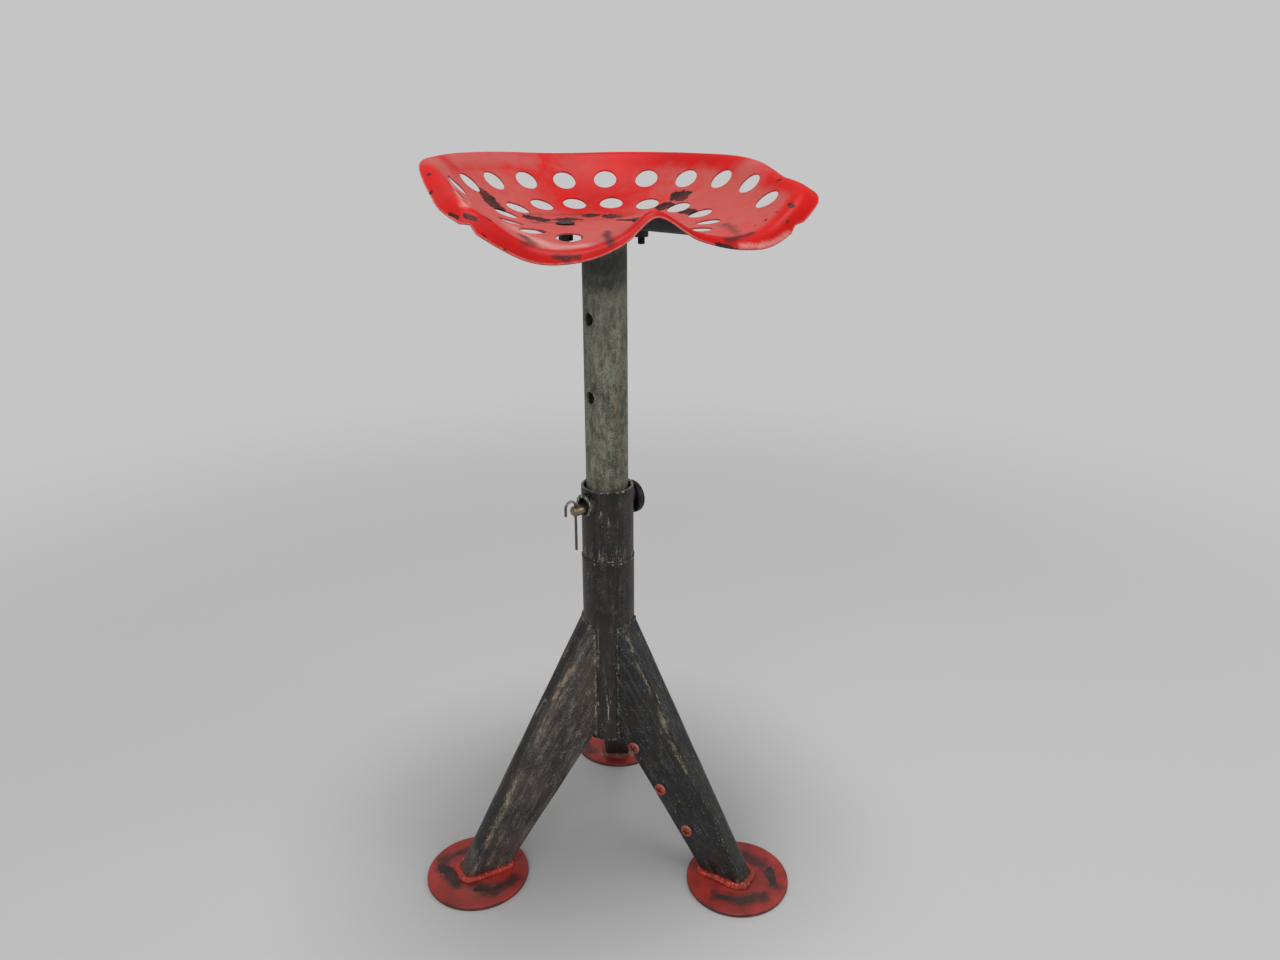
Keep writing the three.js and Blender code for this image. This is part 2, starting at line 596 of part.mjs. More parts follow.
/** A wire bent like a walking stick: its leg hangs through the pin, its crook past the tip. */
function hitchClip() {
  const bend = CLIP_BEND_RADIUS;
  const bendHeight = PIN_HEIGHT + PIN_DIAMETER / 2;
  const centre = -clipHoleReach - bend;
  const path = new THREE.CurvePath();
  const at = (x, z) => new THREE.Vector3(x, 0, z);
  const shoulder = at(-clipHoleReach, bendHeight);
  const side = at(centre - bend, bendHeight);
  const upper = arc(centre, bendHeight, bend, 0, 180, BEND_STEPS).map(([x, z]) => at(x, z));
  path.add(new THREE.LineCurve3(at(-clipHoleReach, bendHeight - CLIP_LEG_LENGTH), shoulder));
  path.add(new THREE.CatmullRomCurve3(upper));
  path.add(new THREE.LineCurve3(side, at(side.x, bendHeight - CLIP_CROOK_LENGTH)));
  const section = new THREE.Shape();
  section.absarc(0, 0, CLIP_WIRE_DIAMETER / 2, 0, 2 * Math.PI);
  const wire = new THREE.ExtrudeGeometry(section, {
    steps: CLIP_STEPS,
    curveSegments: WIRE_FACETS,
    extrudePath: path,
    bevelEnabled: false,
  });
  return mesh("hitch_clip", wire, blackSteel);
}

// Seat post

function postTube() {
  const profile = [
    [POST_DIAMETER / 2 - POST_WALL, POST_BOTTOM],
    [POST_DIAMETER / 2, POST_BOTTOM],
    [POST_DIAMETER / 2, POST_TOP],
    [POST_DIAMETER / 2 - POST_WALL, POST_TOP],
  ];
  const reach = POST_DIAMETER / 2 + OVERRUN;
  const holes = [0, ...POST_HOLE_RISES].map((rise) =>
    crossRod(POST_HOLE_DIAMETER, -reach, reach, PIN_FACETS).translate(0, 0, PINNED_HOLE_HEIGHT + rise),
  );
  return mesh("post_tube", cut(turned(profile, TUBE_FACETS), holes), galvanised);
}

function postWeld() {
  const centre = POST_DIAMETER / 2 + POST_WELD_RADIUS + CLEARANCE;
  const height = POST_TOP - POST_WELD_RADIUS - CLEARANCE;
  const ring = arc(centre, height, POST_WELD_RADIUS, 0, 360, WELD_FACETS).slice(0, -1);
  return mesh("post_weld", turned(ring, TUBE_FACETS), weldSteel);
}

// Seat bar and bolts, with the seat's own X along the bar

function seatBar() {
  const halfLength = SEAT_BAR_LENGTH / 2;
  const halfWidth = SEAT_BAR_WIDTH / 2;
  const round = SEAT_BAR_CORNER;
  const corner = (signX, signY, from) =>
    arc(
      signX * (halfLength - round), signY * (halfWidth - round), round, from, from + 90, WIDE_CORNER_STEPS,
    );
  const outline = [
    ...corner(1, 1, 0),
    ...corner(-1, 1, 90),
    ...corner(-1, -1, 180),
    ...corner(1, -1, 270),
  ];
  const shape = new THREE.Shape(outline.map(([x, y]) => new THREE.Vector2(x, y)));
  [-1, 1].forEach((sign) => {
    const hole = new THREE.Path();
    hole.absarc((sign * SEAT_BOLT_SPREAD) / 2, 0, BOLT_HOLE_DIAMETER / 2, 0, 2 * Math.PI);
    shape.holes.push(hole);
  });
  const bar = new THREE.ExtrudeGeometry(shape, {
    depth: SEAT_BAR_THICKNESS,
    curveSegments: HOLE_FACETS / 2,
    bevelEnabled: false,
  });
  return mesh("seat_bar", bar.translate(0, 0, POST_TOP), blackSteel);
}

/** A domed bolt through the pan and the bar. */
function seatBolt(name, x) {
  const shank = BOLT_DIAMETER / 2;
  const seat = PAN_BOTTOM + panHeight(Math.abs(x) + BOLT_HEAD_DIAMETER / 2, 0) + 2 * CLEARANCE;
  const low = POST_TOP - CLEARANCE - BOLT_WASHER_THICKNESS - CLEARANCE - BOLT_NUT_HEIGHT - BOLT_TAIL;
  const dome = arc(0, 0, 1, 0, DOME_END, WIDE_CORNER_STEPS).map(([across, up]) => [
    (BOLT_HEAD_DIAMETER / 2) * across,
    seat + BOLT_HEAD_HEIGHT * up,
  ]);
  const profile = [[0, low], [shank, low], [shank, seat], ...dome, [0, seat + BOLT_HEAD_HEIGHT]];
  const points = profile.map(([radius, height]) => new THREE.Vector2(radius, height));
  const geometry = new THREE.LatheGeometry(points, PIN_FACETS).rotateX(Math.PI / 2);
  return mesh(`seat_bolt_${name}`, geometry.translate(x, 0, 0), blackSteel);
}

/** A flat ring round the bolt, or a hexagon with the bolt's hole in it. */
function boltRing(name, x, top, height, outline) {
  const shape = new THREE.Shape(outline.map(([px, py]) => new THREE.Vector2(px, py)));
  const hole = new THREE.Path();
  hole.absarc(0, 0, BOLT_DIAMETER / 2 + CLEARANCE, 0, 2 * Math.PI);
  shape.holes.push(hole);
  const ring = new THREE.ExtrudeGeometry(shape, {
    depth: height,
    curveSegments: HOLE_FACETS / 2,
    bevelEnabled: false,
  });
  return mesh(name, ring.translate(x, 0, top - height), blackSteel);
}

function boltSet(name, x) {
  const washerTop = POST_TOP - CLEARANCE;
  const nutTop = washerTop - BOLT_WASHER_THICKNESS - CLEARANCE;
  const washer = arc(0, 0, BOLT_WASHER_DIAMETER / 2, 0, 360, PIN_FACETS).slice(0, -1);
  const hexagon = arc(0, 0, BOLT_NUT_WIDTH / Math.sqrt(3), 0, 360, 6).slice(0, -1);
  return [
    seatBolt(name, x),
    boltRing(`seat_washer_${name}`, x, washerTop, BOLT_WASHER_THICKNESS, washer),
    boltRing(`seat_nut_${name}`, x, nutTop, BOLT_NUT_HEIGHT, hexagon),
  ];
}

// Seat pan: a height over its bottom for every turn and radius, with a lip bent over the rim

/** A rim value at any turn, on a smooth curve that is level at the back and the pommel. */
function rimValue(key, turn) {
  const stations = RIM_SHARES;
  const slope = (index) => {
    if (index === 0 || index === stations.length - 1) return 0;
    const before = stations[index - 1];
    const after = stations[index + 1];
    return (after[key] - before[key]) / (after.turn - before.turn);
  };
  const found = stations.findIndex((station) => station.turn > turn) - 1;
  const index = found < 0 ? stations.length - 2 : found;
  const here = stations[index];
  const next = stations[index + 1];
  const gap = next.turn - here.turn;
  const t = (turn - here.turn) / gap;
  const share =
    (2 * t ** 3 - 3 * t ** 2 + 1) * here[key] +
    (t ** 3 - 2 * t ** 2 + t) * gap * slope(index) +
    (3 * t ** 2 - 2 * t ** 3) * next[key] +
    (t ** 3 - t ** 2) * gap * slope(index + 1);
  return share * RIM_SIZES[key];
}

/** How much the pan's twist lifts a place in the seat's frame. */
function twistLift(x, y) {
  return (-PAN_TWIST * x * y) / PAN_TWIST_REACH ** 2;
}

/** Height of the pan's upper side over its bottom, at a place in the seat's frame. */
function panHeight(x, y) {
  const turn = THREE.MathUtils.radToDeg(Math.atan2(Math.abs(x), y));
  const share = Math.hypot(x, y) / rimValue("radius", turn);
  return rimValue("height", turn) * share ** rimValue("rise", turn) + twistLift(x, y);
}

/** The azimuths from the middle of the back of the left notch and, past the pommel, the right one. */
const notchAngles = [PAN_NOTCH_TURNS[0], 360 - PAN_NOTCH_TURNS[1]];

/** How much of the lip is left at an angle, where the relief notches take some away. */
function lipShare(angle) {
  const away = Math.min(...notchAngles.map((notch) => Math.abs(angle - notch))) / PAN_NOTCH_HALF_ANGLE;
  return 1 - PAN_NOTCH_DEPTH_SHARE * Math.max(0, 1 - away);
}

const PAN_RADIAL_SHARES = [0.3, 0.55, 0.72, 0.87, 1];
const PAN_BEND_STEPS = 3;
const LIP_BEND_SHARE = 0.5; // of the lip's reach and drop, where its bend ends
const PAN_ANGLE_STEP = 7.5;
const PAN_NOTCH_MARGIN = 1; // degrees past a notch that are kept free of other angles
const PAN_NOTCH_SHARES = [-1, -0.3, 0.3, 1]; // of a notch's half angle

/** The pan's upper side at one angle, from near its middle to the lip's edge, as [radius, height]. */
function panProfile(angle) {
  const turn = Math.min(angle, 360 - angle);
  const radius = rimValue("radius", turn);
  const height = rimValue("height", turn);
  const rise = rimValue("rise", turn);
  const reach = rimValue("reach", turn) * lipShare(angle);
  const drop = rimValue("drop", turn) * lipShare(angle);
  const wall = (r) => height * (r / radius) ** rise;
  const start = radius - PAN_LIP_BEND;
  const slope = (height * rise * (start / radius) ** (rise - 1)) / radius;
  const crest = wall(start) + slope * PAN_LIP_BEND;
  const bend = new THREE.QuadraticBezierCurve(
    new THREE.Vector2(start, wall(start)),
    new THREE.Vector2(radius, crest),
    new THREE.Vector2(radius + reach * LIP_BEND_SHARE, crest - drop * LIP_BEND_SHARE),
  );
  return [
    ...PAN_RADIAL_SHARES.map((share) => new THREE.Vector2(start * share, wall(start * share))),
    ...bend.getPoints(PAN_BEND_STEPS).slice(1),
    new THREE.Vector2(radius + reach, crest - drop),
  ];
}

/** All the angles that the pan is built on, right round, closer together at the notches. */
function panAngles() {
  const even = Array.from({ length: 360 / PAN_ANGLE_STEP }, (_, step) => step * PAN_ANGLE_STEP);
  const clear = even.filter((angle) =>
    notchAngles.every((notch) => Math.abs(angle - notch) > PAN_NOTCH_HALF_ANGLE + PAN_NOTCH_MARGIN),
  );
  const close = notchAngles.flatMap((notch) =>
    PAN_NOTCH_SHARES.map((share) => notch + share * PAN_NOTCH_HALF_ANGLE),
  );
  return [...clear, ...close].sort((a, b) => a - b);
}

/** Places on the pan's upper side: one ring for every radial step, and the middle. */
function panRings() {
  const columns = panAngles().map((angle) => {
    const turn = THREE.MathUtils.degToRad(angle);
    return panProfile(angle).map(({ x: radius, y: height }) => {
      const x = -radius * Math.sin(turn);
      const y = radius * Math.cos(turn);
      return new THREE.Vector3(x, y, height + twistLift(x, y));
    });
  });
  return columns[0].map((_, ring) => columns.map((column) => column[ring]));
}

/** The side of the pan that lies a sheet's thickness under the upper one. */
function offsetRings(rings) {
  const count = rings[0].length;
  const middle = new THREE.Vector3();
  return rings.map((ring, index) =>
    ring.map((point, side) => {
      const before = ring[(side + count - 1) % count];
      const after = ring[(side + 1) % count];
      const inside = index === 0 ? middle : rings[index - 1][side];
      const outside = index === rings.length - 1 ? point : rings[index + 1][side];
      const round = after.clone().sub(before);
      const out = outside.clone().sub(inside);
      const normal = out.cross(round).normalize();
      return point.clone().addScaledVector(normal, -PAN_SHEET);
    }),
  );
}

/** The pressed sheet before its holes, as one closed skin. */
function panSheet() {
  const upper = panRings();
  const lower = offsetRings(upper);
  const count = upper[0].length;
  const rings = [...upper, ...lower.slice().reverse()];
  const points = [...rings.flat(), new THREE.Vector3(), new THREE.Vector3(0, 0, -PAN_SHEET)];
  const top = rings.length * count;
  const faces = [];
  for (let ring = 0; ring < rings.length - 1; ring += 1) {
    for (let side = 0; side < count; side += 1) {
      const next = (side + 1) % count;
      const a = ring * count + side;
      const b = ring * count + next;
      faces.push(a, a + count, b + count, a, b + count, b);
    }
  }
  const last = (rings.length - 1) * count;
  for (let side = 0; side < count; side += 1) {
    const next = (side + 1) % count;
    faces.push(top, side, next, top + 1, last + next, last + side);
  }
  const positions = points.flatMap((point) => [point.x, point.y, point.z]);
  const geometry = new THREE.BufferGeometry();
  geometry.setAttribute("position", new THREE.Float32BufferAttribute(positions, 3));
  geometry.setIndex(faces);
  return geometry;
}

/** A tool for one hole of a row, square to the sheet where it goes through. */
function rowHole(row, index) {
  const angle = THREE.MathUtils.degToRad(index * row.stepDegrees);
  const x = row.halfWidth * Math.sin(angle);
  const y = row.halfDepth * Math.cos(angle) - row.forward;
  const step = PAN_SHEET / 2;
  const normal = new THREE.Vector3(
    (panHeight(x - step, y) - panHeight(x + step, y)) / (2 * step),
    (panHeight(x, y - step) - panHeight(x, y + step)) / (2 * step),
    1,
  ).normalize();
  const tool = rod(PAN_HOLE_DIAMETER, -OVERRUN - PAN_SHEET, OVERRUN, HOLE_FACETS);
  tool.applyQuaternion(new THREE.Quaternion().setFromUnitVectors(new THREE.Vector3(0, 0, 1), normal));
  return tool.translate(x, y, panHeight(x, y));
}

function seatPan() {
  const indices = Array.from({ length: 2 * PAN_HOLES_PER_SIDE + 1 }, (_, hole) => hole - PAN_HOLES_PER_SIDE);
  const holes = [UPPER_ROW, LOWER_ROW].flatMap((row) => indices.map((index) => rowHole(row, index)));
  const bolts = [-1, 1].map((sign) =>
    rod(BOLT_HOLE_DIAMETER, -OVERRUN, OVERRUN, HOLE_FACETS).translate((sign * SEAT_BOLT_SPREAD) / 2, 0, 0),
  );
  return mesh("seat_pan", cut(panSheet(), [...holes, ...bolts]).translate(0, 0, PAN_BOTTOM), redPaint);
}

// The stool

const pinFrame = new THREE.Group();
pinFrame.rotation.z = THREE.MathUtils.degToRad(PIN_AZIMUTH);
pinFrame.add(
  guideSleeve(),
  boss("front", BOSS_FRONT_STANDOFF, -1),
  boss("rear", BOSS_REAR_STANDOFF, 1),
  postTube(),
  lockPin(),
  lockPinHead(),
  hitchClip(),
);

const seatFrame = new THREE.Group();
seatFrame.rotation.z = THREE.MathUtils.degToRad(SEAT_YAW);
seatFrame.add(
  postWeld(),
  seatBar(),
  seatPan(),
  ...boltSet("left", -SEAT_BOLT_SPREAD / 2),
  ...boltSet("right", SEAT_BOLT_SPREAD / 2),
);

const stool = new THREE.Group();
stool.add(standTube(), sleeveWeld(), ...Object.keys(LEGS).map(tripodArm), pinFrame, seatFrame);

// The origin is on the floor, under the middle of the whole stool.
stool.updateMatrixWorld(true);
const extent = new THREE.Box3().setFromObject(stool, true);
const middle = extent.getCenter(new THREE.Vector3());
stool.position.set(-middle.x, -middle.y, -extent.min.z);

export default stool;
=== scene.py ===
"""The tractor seat stool, dressed for looks round its CAD frame.

Every visible piece is made again in fine mesh where the frame has it: the pressed and perforated
seat pan, the drilled tubes, the tapered legs, the plates, the welds and the fasteners. Sizes are
in millimetres until they go into a mesh, which is in metres. Angles are in degrees where a name or
docstring doesn't say otherwise.
"""
import logging
import math
from dataclasses import dataclass, field
from enum import Enum
from typing import Any, Callable, Sequence

import bmesh
import bpy
import numpy as np
from mathutils import Matrix, Vector, noise
from mathutils.bvhtree import BVHTree
from mathutils.geometry import delaunay_2d_cdt


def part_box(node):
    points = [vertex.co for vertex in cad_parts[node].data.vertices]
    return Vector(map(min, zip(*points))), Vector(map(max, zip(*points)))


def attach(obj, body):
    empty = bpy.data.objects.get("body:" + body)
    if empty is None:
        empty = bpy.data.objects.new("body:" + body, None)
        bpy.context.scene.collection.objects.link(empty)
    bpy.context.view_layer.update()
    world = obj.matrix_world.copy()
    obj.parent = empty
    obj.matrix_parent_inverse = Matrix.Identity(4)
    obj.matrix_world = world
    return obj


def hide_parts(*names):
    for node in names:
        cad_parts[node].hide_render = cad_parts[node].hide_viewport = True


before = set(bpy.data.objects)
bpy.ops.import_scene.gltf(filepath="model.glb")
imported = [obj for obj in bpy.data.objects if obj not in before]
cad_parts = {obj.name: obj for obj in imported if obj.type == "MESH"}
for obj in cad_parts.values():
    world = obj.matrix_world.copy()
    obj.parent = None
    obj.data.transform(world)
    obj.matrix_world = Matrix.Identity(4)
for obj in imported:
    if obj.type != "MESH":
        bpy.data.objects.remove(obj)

LOG = logging.getLogger("stool")
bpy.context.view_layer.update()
MM = 0.001
FULL_TURN = 2 * math.pi
SAME_PLACE = 0.002  # vertices nearer to each other than this are one
AXIS = (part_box("stand_tube")[0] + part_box("stand_tube")[1]) / 2 / MM
UP = Vector((0, 0, 1))

Piece = bpy.types.Object
Points = Sequence[Vector]
Socket = bpy.types.NodeSocket


def heights_of(node: str) -> tuple[float, float]:
    """The lowest and the highest height of a CAD node."""
    return tuple(corner.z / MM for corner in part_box(node))


def circle(count: int) -> np.ndarray:
    """Evenly spaced angles in radians, once round."""
    return np.linspace(0, FULL_TURN, count, endpoint=False)


def ring_at(place: Matrix, radius: float, height: float, count: int) -> list[Vector]:
    """A level ring of points round a place's axis."""
    return [place @ Vector((radius * math.cos(a), radius * math.sin(a), height))
            for a in circle(count)]


def ease(values: np.ndarray, start: float, run: float) -> np.ndarray:
    """A straight rise from 0 at a start to 1 after a run; a negative run lies before the start."""
    return np.clip((values - start) / run, 0, 1)


def srgb(code: str) -> tuple[float, float, float, float]:
    """A hexadecimal display colour as the linear colour that a shader takes.

    Args:
        code: Six hexadecimal digits, red first.

    Returns:
        Linear red, green, blue and a full alpha.
    """
    parts = [int(code[at:at + 2], 16) / 255 for at in (0, 2, 4)]
    linear = [c / 12.92 if c <= 0.04045 else ((c + 0.055) / 1.055) ** 2.4 for c in parts]
    return (*linear, 1.0)


# The camera, and marks placed by the photograph's pixels


@dataclass(frozen=True)
class Viewpoint:
    """The photograph's camera, measured from the post's axis on the floor.

    The picture's size and the focal length are in its pixels, and the sensor is in millimetres.
    """

    width: float = 1280.0
    height: float = 960.0
    focal: float = 985.0
    pitch: float = 20.85
    right: float = 37.7
    back: float = 1058.0
    rise: float = 893.0
    sensor: float = 36.0

    def place(self) -> Vector:
        """Where the camera stands, in metres."""
        return Vector((AXIS.x + self.right, AXIS.y - self.back, self.rise)) * MM

    def turn(self) -> Matrix:
        """The camera's rotation."""
        return Matrix.Rotation(math.radians(90 - self.pitch), 4, "X")

    def ray(self, x: float, y: float) -> Vector:
        """The direction from the camera through a pixel of the picture."""
        across = (x - self.width / 2) / self.focal
        down = (y - self.height / 2) / self.focal
        return (self.turn().to_3x3() @ Vector((across, -down, -1))).normalized()

    def build(self) -> None:
        """Makes the scene's camera."""
        camera = bpy.data.cameras.new("viewpoint")
        camera.sensor_width = self.sensor
        camera.lens = self.focal / self.width * self.sensor
        holder = bpy.data.objects.new("viewpoint", camera)
        holder.matrix_world = Matrix.Translation(self.place()) @ self.turn()
        bpy.context.scene.collection.objects.link(holder)
        bpy.context.scene.camera = holder


class Mark(Enum):
    """A kind of mark, of wear and of painted shade, highlight and sheen; its value is the mesh
    attribute that the finishes read.
    """

    BARE = "bare"
    SMUDGE = "smudge"
    PALE = "pale"
    RUB = "rub"
    EDGE = "edge"
    RIDGE = "ridge"


@dataclass(frozen=True)
class Stroke:
    """A mark that runs through pixels of the photograph.

    It has its full strength on its line, half of it a width away and none at two widths.
    """

    kind: Mark
    pixels: tuple[tuple[float, float], ...]
    width: float
    strength: float = 1.0


def strokes(kind: Mark, *rows: tuple) -> tuple[Stroke, ...]:
    """Several marks of one kind, each given by its pixels, its width and maybe its strength."""
    return tuple(Stroke(kind, *row) for row in rows)


def store(piece: Piece, mark: Mark, values: np.ndarray) -> None:
    """Keeps one number per vertex as the attribute of a kind of mark, wear and painted light
    alike.

    Args:
        piece: The piece.
        mark: The kind of mark.
        values: One number for each vertex; the larger of it and what is there already stays.
    """
    layer = piece.data.attributes.get(mark.value)
    old = np.zeros(len(values))
    if layer is None:
        layer = piece.data.attributes.new(mark.value, "FLOAT", "POINT")
    else:
        layer.data.foreach_get("value", old)
    layer.data.foreach_set("value", np.maximum(old, values).astype(np.float32))


def fade(piece: Piece, mark: Mark, share: np.ndarray) -> None:
    """Takes a share of a kind of mark, wear and painted light alike, off each vertex."""
    layer = piece.data.attributes[mark.value]
    values = np.zeros(len(share))
    layer.data.foreach_get("value", values)
    layer.data.foreach_set("value", (values * (1 - share)).astype(np.float32))


def vertex_places(piece: Piece) -> np.ndarray:
    """All the vertices of a piece, in millimetres."""
    flat = np.zeros(len(piece.data.vertices) * 3)
    piece.data.vertices.foreach_get("co", flat)
    return flat.reshape(-1, 3) / MM


def seen_from(places: np.ndarray, place: Matrix) -> np.ndarray:
    """World places as the frame of a matrix has them."""
    rows = np.array(place)
    return (places - rows[:3, 3]) @ rows[:3, :3]


def paint(piece: Piece, marks: Sequence[Stroke], viewpoint: Viewpoint) -> None:
    """Lays marks on a piece where the camera's rays through their pixels meet it.

    Args:
        piece: The piece, with its place in its mesh.
        marks: The marks.
        viewpoint: The camera whose pixels they name.
    """
    tree = BVHTree.FromPolygons(
        [vertex.co for vertex in piece.data.vertices],
        [polygon.vertices for polygon in piece.data.polygons],
    )
    places = vertex_places(piece)
    for stroke in marks:
        hits = [tree.ray_cast(viewpoint.place(), viewpoint.ray(*pixel))[0]
                for pixel in stroke.pixels]
        hits = [np.array(hit) / MM for hit in hits if hit is not None]
        if not hits:
            LOG.warning("%s: no pixel of %s meets it", piece.name, stroke)
            continue
        gaps = [np.linalg.norm(places - hits[0], axis=1)]
        for start, end in zip(hits, hits[1:]):
            run = end - start
            share = np.clip((places - start) @ run / max(run @ run, 1e-6), 0, 1)
            gaps.append(np.linalg.norm(places - start - share[:, None] * run, axis=1))
        fall = np.clip(1 - np.minimum.reduce(gaps) / (2 * stroke.width), 0, 1)
        store(piece, stroke.kind, fall * stroke.strength)


# Shaders


@dataclass(frozen=True)
class Wire:
    """One value in a shader, whose operators add Math nodes."""

    shader: "Shader"
    socket: Socket

    def math(self, operation: str, *others: Any, first: bool = True) -> "Wire":
        """A Math node on this value and others.

        Args:
            operation: The Math node's operation.
            others: Values or wires for the other inputs.
            first: Whether this value is the first input.

        Returns:
            The node's value.
        """
        ends = [self, *others] if first else [*others, self]
        node = self.shader.node("ShaderNodeMath", {"operation": operation}, dict(enumerate(ends)))
        return Wire(self.shader, node.outputs[0])

    def __add__(self, other: Any) -> "Wire":
        """The sum."""
        return self.math("ADD", other)

    __radd__ = __add__

    def __sub__(self, other: Any) -> "Wire":
        """The difference."""
        return self.math("SUBTRACT", other)

    def __rsub__(self, other: Any) -> "Wire":
        """The difference from a number."""
        return self.math("SUBTRACT", other, first=False)

    def __mul__(self, other: Any) -> "Wire":
        """The product."""
        return self.math("MULTIPLY", other)

    __rmul__ = __mul__

    def either(self, other: "Wire") -> "Wire":
        """The larger of two values."""
        return self.math("MAXIMUM", other)

    def ramp(self, low: float, high: float) -> "Wire":
        """A smooth step from 0 at one value to 1 at another."""
        node = self.shader.node(
            "ShaderNodeMapRange",
            {"interpolation_type": "SMOOTHSTEP"},
            {"Value": self, "From Min": low, "From Max": high},
        )
        return Wire(self.shader, node.outputs["Result"])


class Nodes:
    """A node tree under construction."""

    def __init__(self, tree: bpy.types.NodeTree) -> None:
        """Empties the tree."""
        self.tree = tree
        tree.nodes.clear()

    def node(self, kind: str, settings: dict[str, Any] | None = None,
             inputs: dict[Any, Any] | None = None) -> bpy.types.Node:
        """Adds one node.

        Args:
            kind: The node's type.
            settings: Its properties, set before its sockets.
            inputs: What goes into its sockets, by name or number: wires, sockets or values.

        Returns:
            The node.
        """
        made = self.tree.nodes.new(kind)
        for key, value in (settings or {}).items():
            setattr(made, key, value)
        for key, value in (inputs or {}).items():
            self.plug(made.inputs[key], value)
        return made

    def plug(self, socket: Socket, value: Any) -> None:
        """Links or sets one input socket."""
        if isinstance(value, Wire):
            value = value.socket
        if isinstance(value, Socket):
            self.tree.links.new(value, socket)
        else:
            socket.default_value = value


class Shader(Nodes):
    """A material under construction: one Principled shader and the nodes that feed it."""

    def __init__(self, name: str, lean: tuple[float, float] = (0.0, 0.0)) -> None:
        """Starts a material.

        Args:
            name: The material's name.
            lean: How far its grain leans from upright, and which way, in degrees.
        """
        self.lean = lean
        self.material = bpy.data.materials.new(name)
        self.material.use_nodes = True
        super().__init__(self.material.node_tree)
        self.surface = self.node("ShaderNodeBsdfPrincipled")
        self.output = self.node("ShaderNodeOutputMaterial")
        self.plug(self.output.inputs["Surface"], self.surface.outputs[0])
        self.object_place = self.node("ShaderNodeTexCoord").outputs["Object"]

    def spread(self, stretch: Sequence[float], offset: Sequence[float]) -> Socket:
        """Object coordinates, which a Mapping node moves, turns and stretches where need be."""
        if stretch == (1, 1, 1) and offset == (0, 0, 0):
            return self.object_place
        turn = (0.0, math.radians(self.lean[0]), math.radians(self.lean[1]))
        inputs = {"Vector": self.object_place, "Location": offset, "Rotation": turn,
                  "Scale": tuple(1 / part for part in stretch)}
        return self.node("ShaderNodeMapping", {"vector_type": "TEXTURE"}, inputs).outputs["Vector"]

    def grain(self, size: float, detail: float = 4.0, rough: float = 0.55,
              stretch: tuple[float, float, float] = (1, 1, 1),
              offset: tuple[float, float, float] = (0, 0, 0)) -> Wire:
        """Noise about 0.5.

        Args:
            size: How large its main blots are, in millimetres.
            detail: How many finer layers it has.
            rough: How strong these are.
            stretch: How much denser it is along each axis.
            offset: Where in the noise the piece lies.

        Returns:
            The noise's value.
        """
        inputs = {"Vector": self.spread(stretch, offset), "Scale": 1 / (size * MM),
                  "Detail": detail, "Roughness": rough}
        return Wire(self, self.node("ShaderNodeTexNoise", inputs=inputs).outputs[0])

    def wear(self, mark: Mark) -> Wire:
        """The attribute of a kind of mark, wear and painted light alike; it is nothing where a
        piece has none.
        """
        node = self.node("ShaderNodeAttribute", {"attribute_name": mark.value})
        return Wire(self, node.outputs["Fac"])

    def blend(self, share: Wire, below: Any, above: Any) -> Socket:
        """One colour over another.

        Args:
            share: How much of the upper colour shows.
            below: The lower colour or its socket.
            above: The upper colour or its socket.

        Returns:
            The mixed colour's socket.
        """
        node = self.node("ShaderNodeMix", {"data_type": "RGBA"})
        for identifier, value in (("Factor_Float", share), ("A_Color", below), ("B_Color", above)):
            self.plug(next(s for s in node.inputs if s.identifier == identifier), value)
        return next(s for s in node.outputs if s.identifier == "Result_Color")

    def finish(self, colour: Any, roughness: Any, metallic: Any = 0.0, height: Any = None,
               depth: float = 0.3, strength: float = 0.5, coat: Any = 0.0,
               coat_roughness: float = 0.1, specular: float = 0.5) -> bpy.types.Material:
        """Feeds the Principled shader.

        Args:
            colour: Base colour or its socket.
            roughness: Roughness or its wire.
            metallic: Metallic or its wire.
            height: The wire of the relief, 0 to 1.
            depth: How many millimetres the relief's 0 to 1 stands for.
            strength: The bump's strength.
            coat: Coat weight or its wire.
            coat_roughness: The coat's roughness.
            specular: How strongly the base reflects.

        Returns:
            The material.
        """
        inputs = {"Base Color": colour, "Roughness": roughness, "Metallic": metallic,
                  "Coat Weight": coat, "Coat Roughness": coat_roughness,
                  "Specular IOR Level": specular}
        for key, value in inputs.items():
            self.plug(self.surface.inputs[key], value)
        if height is not None:
            inputs = {"Height": height, "Distance": depth * MM, "Strength": strength}
            bump = self.node("ShaderNodeBump", inputs=inputs)
            self.plug(self.surface.inputs["Normal"], bump.outputs["Normal"])
        return self.material


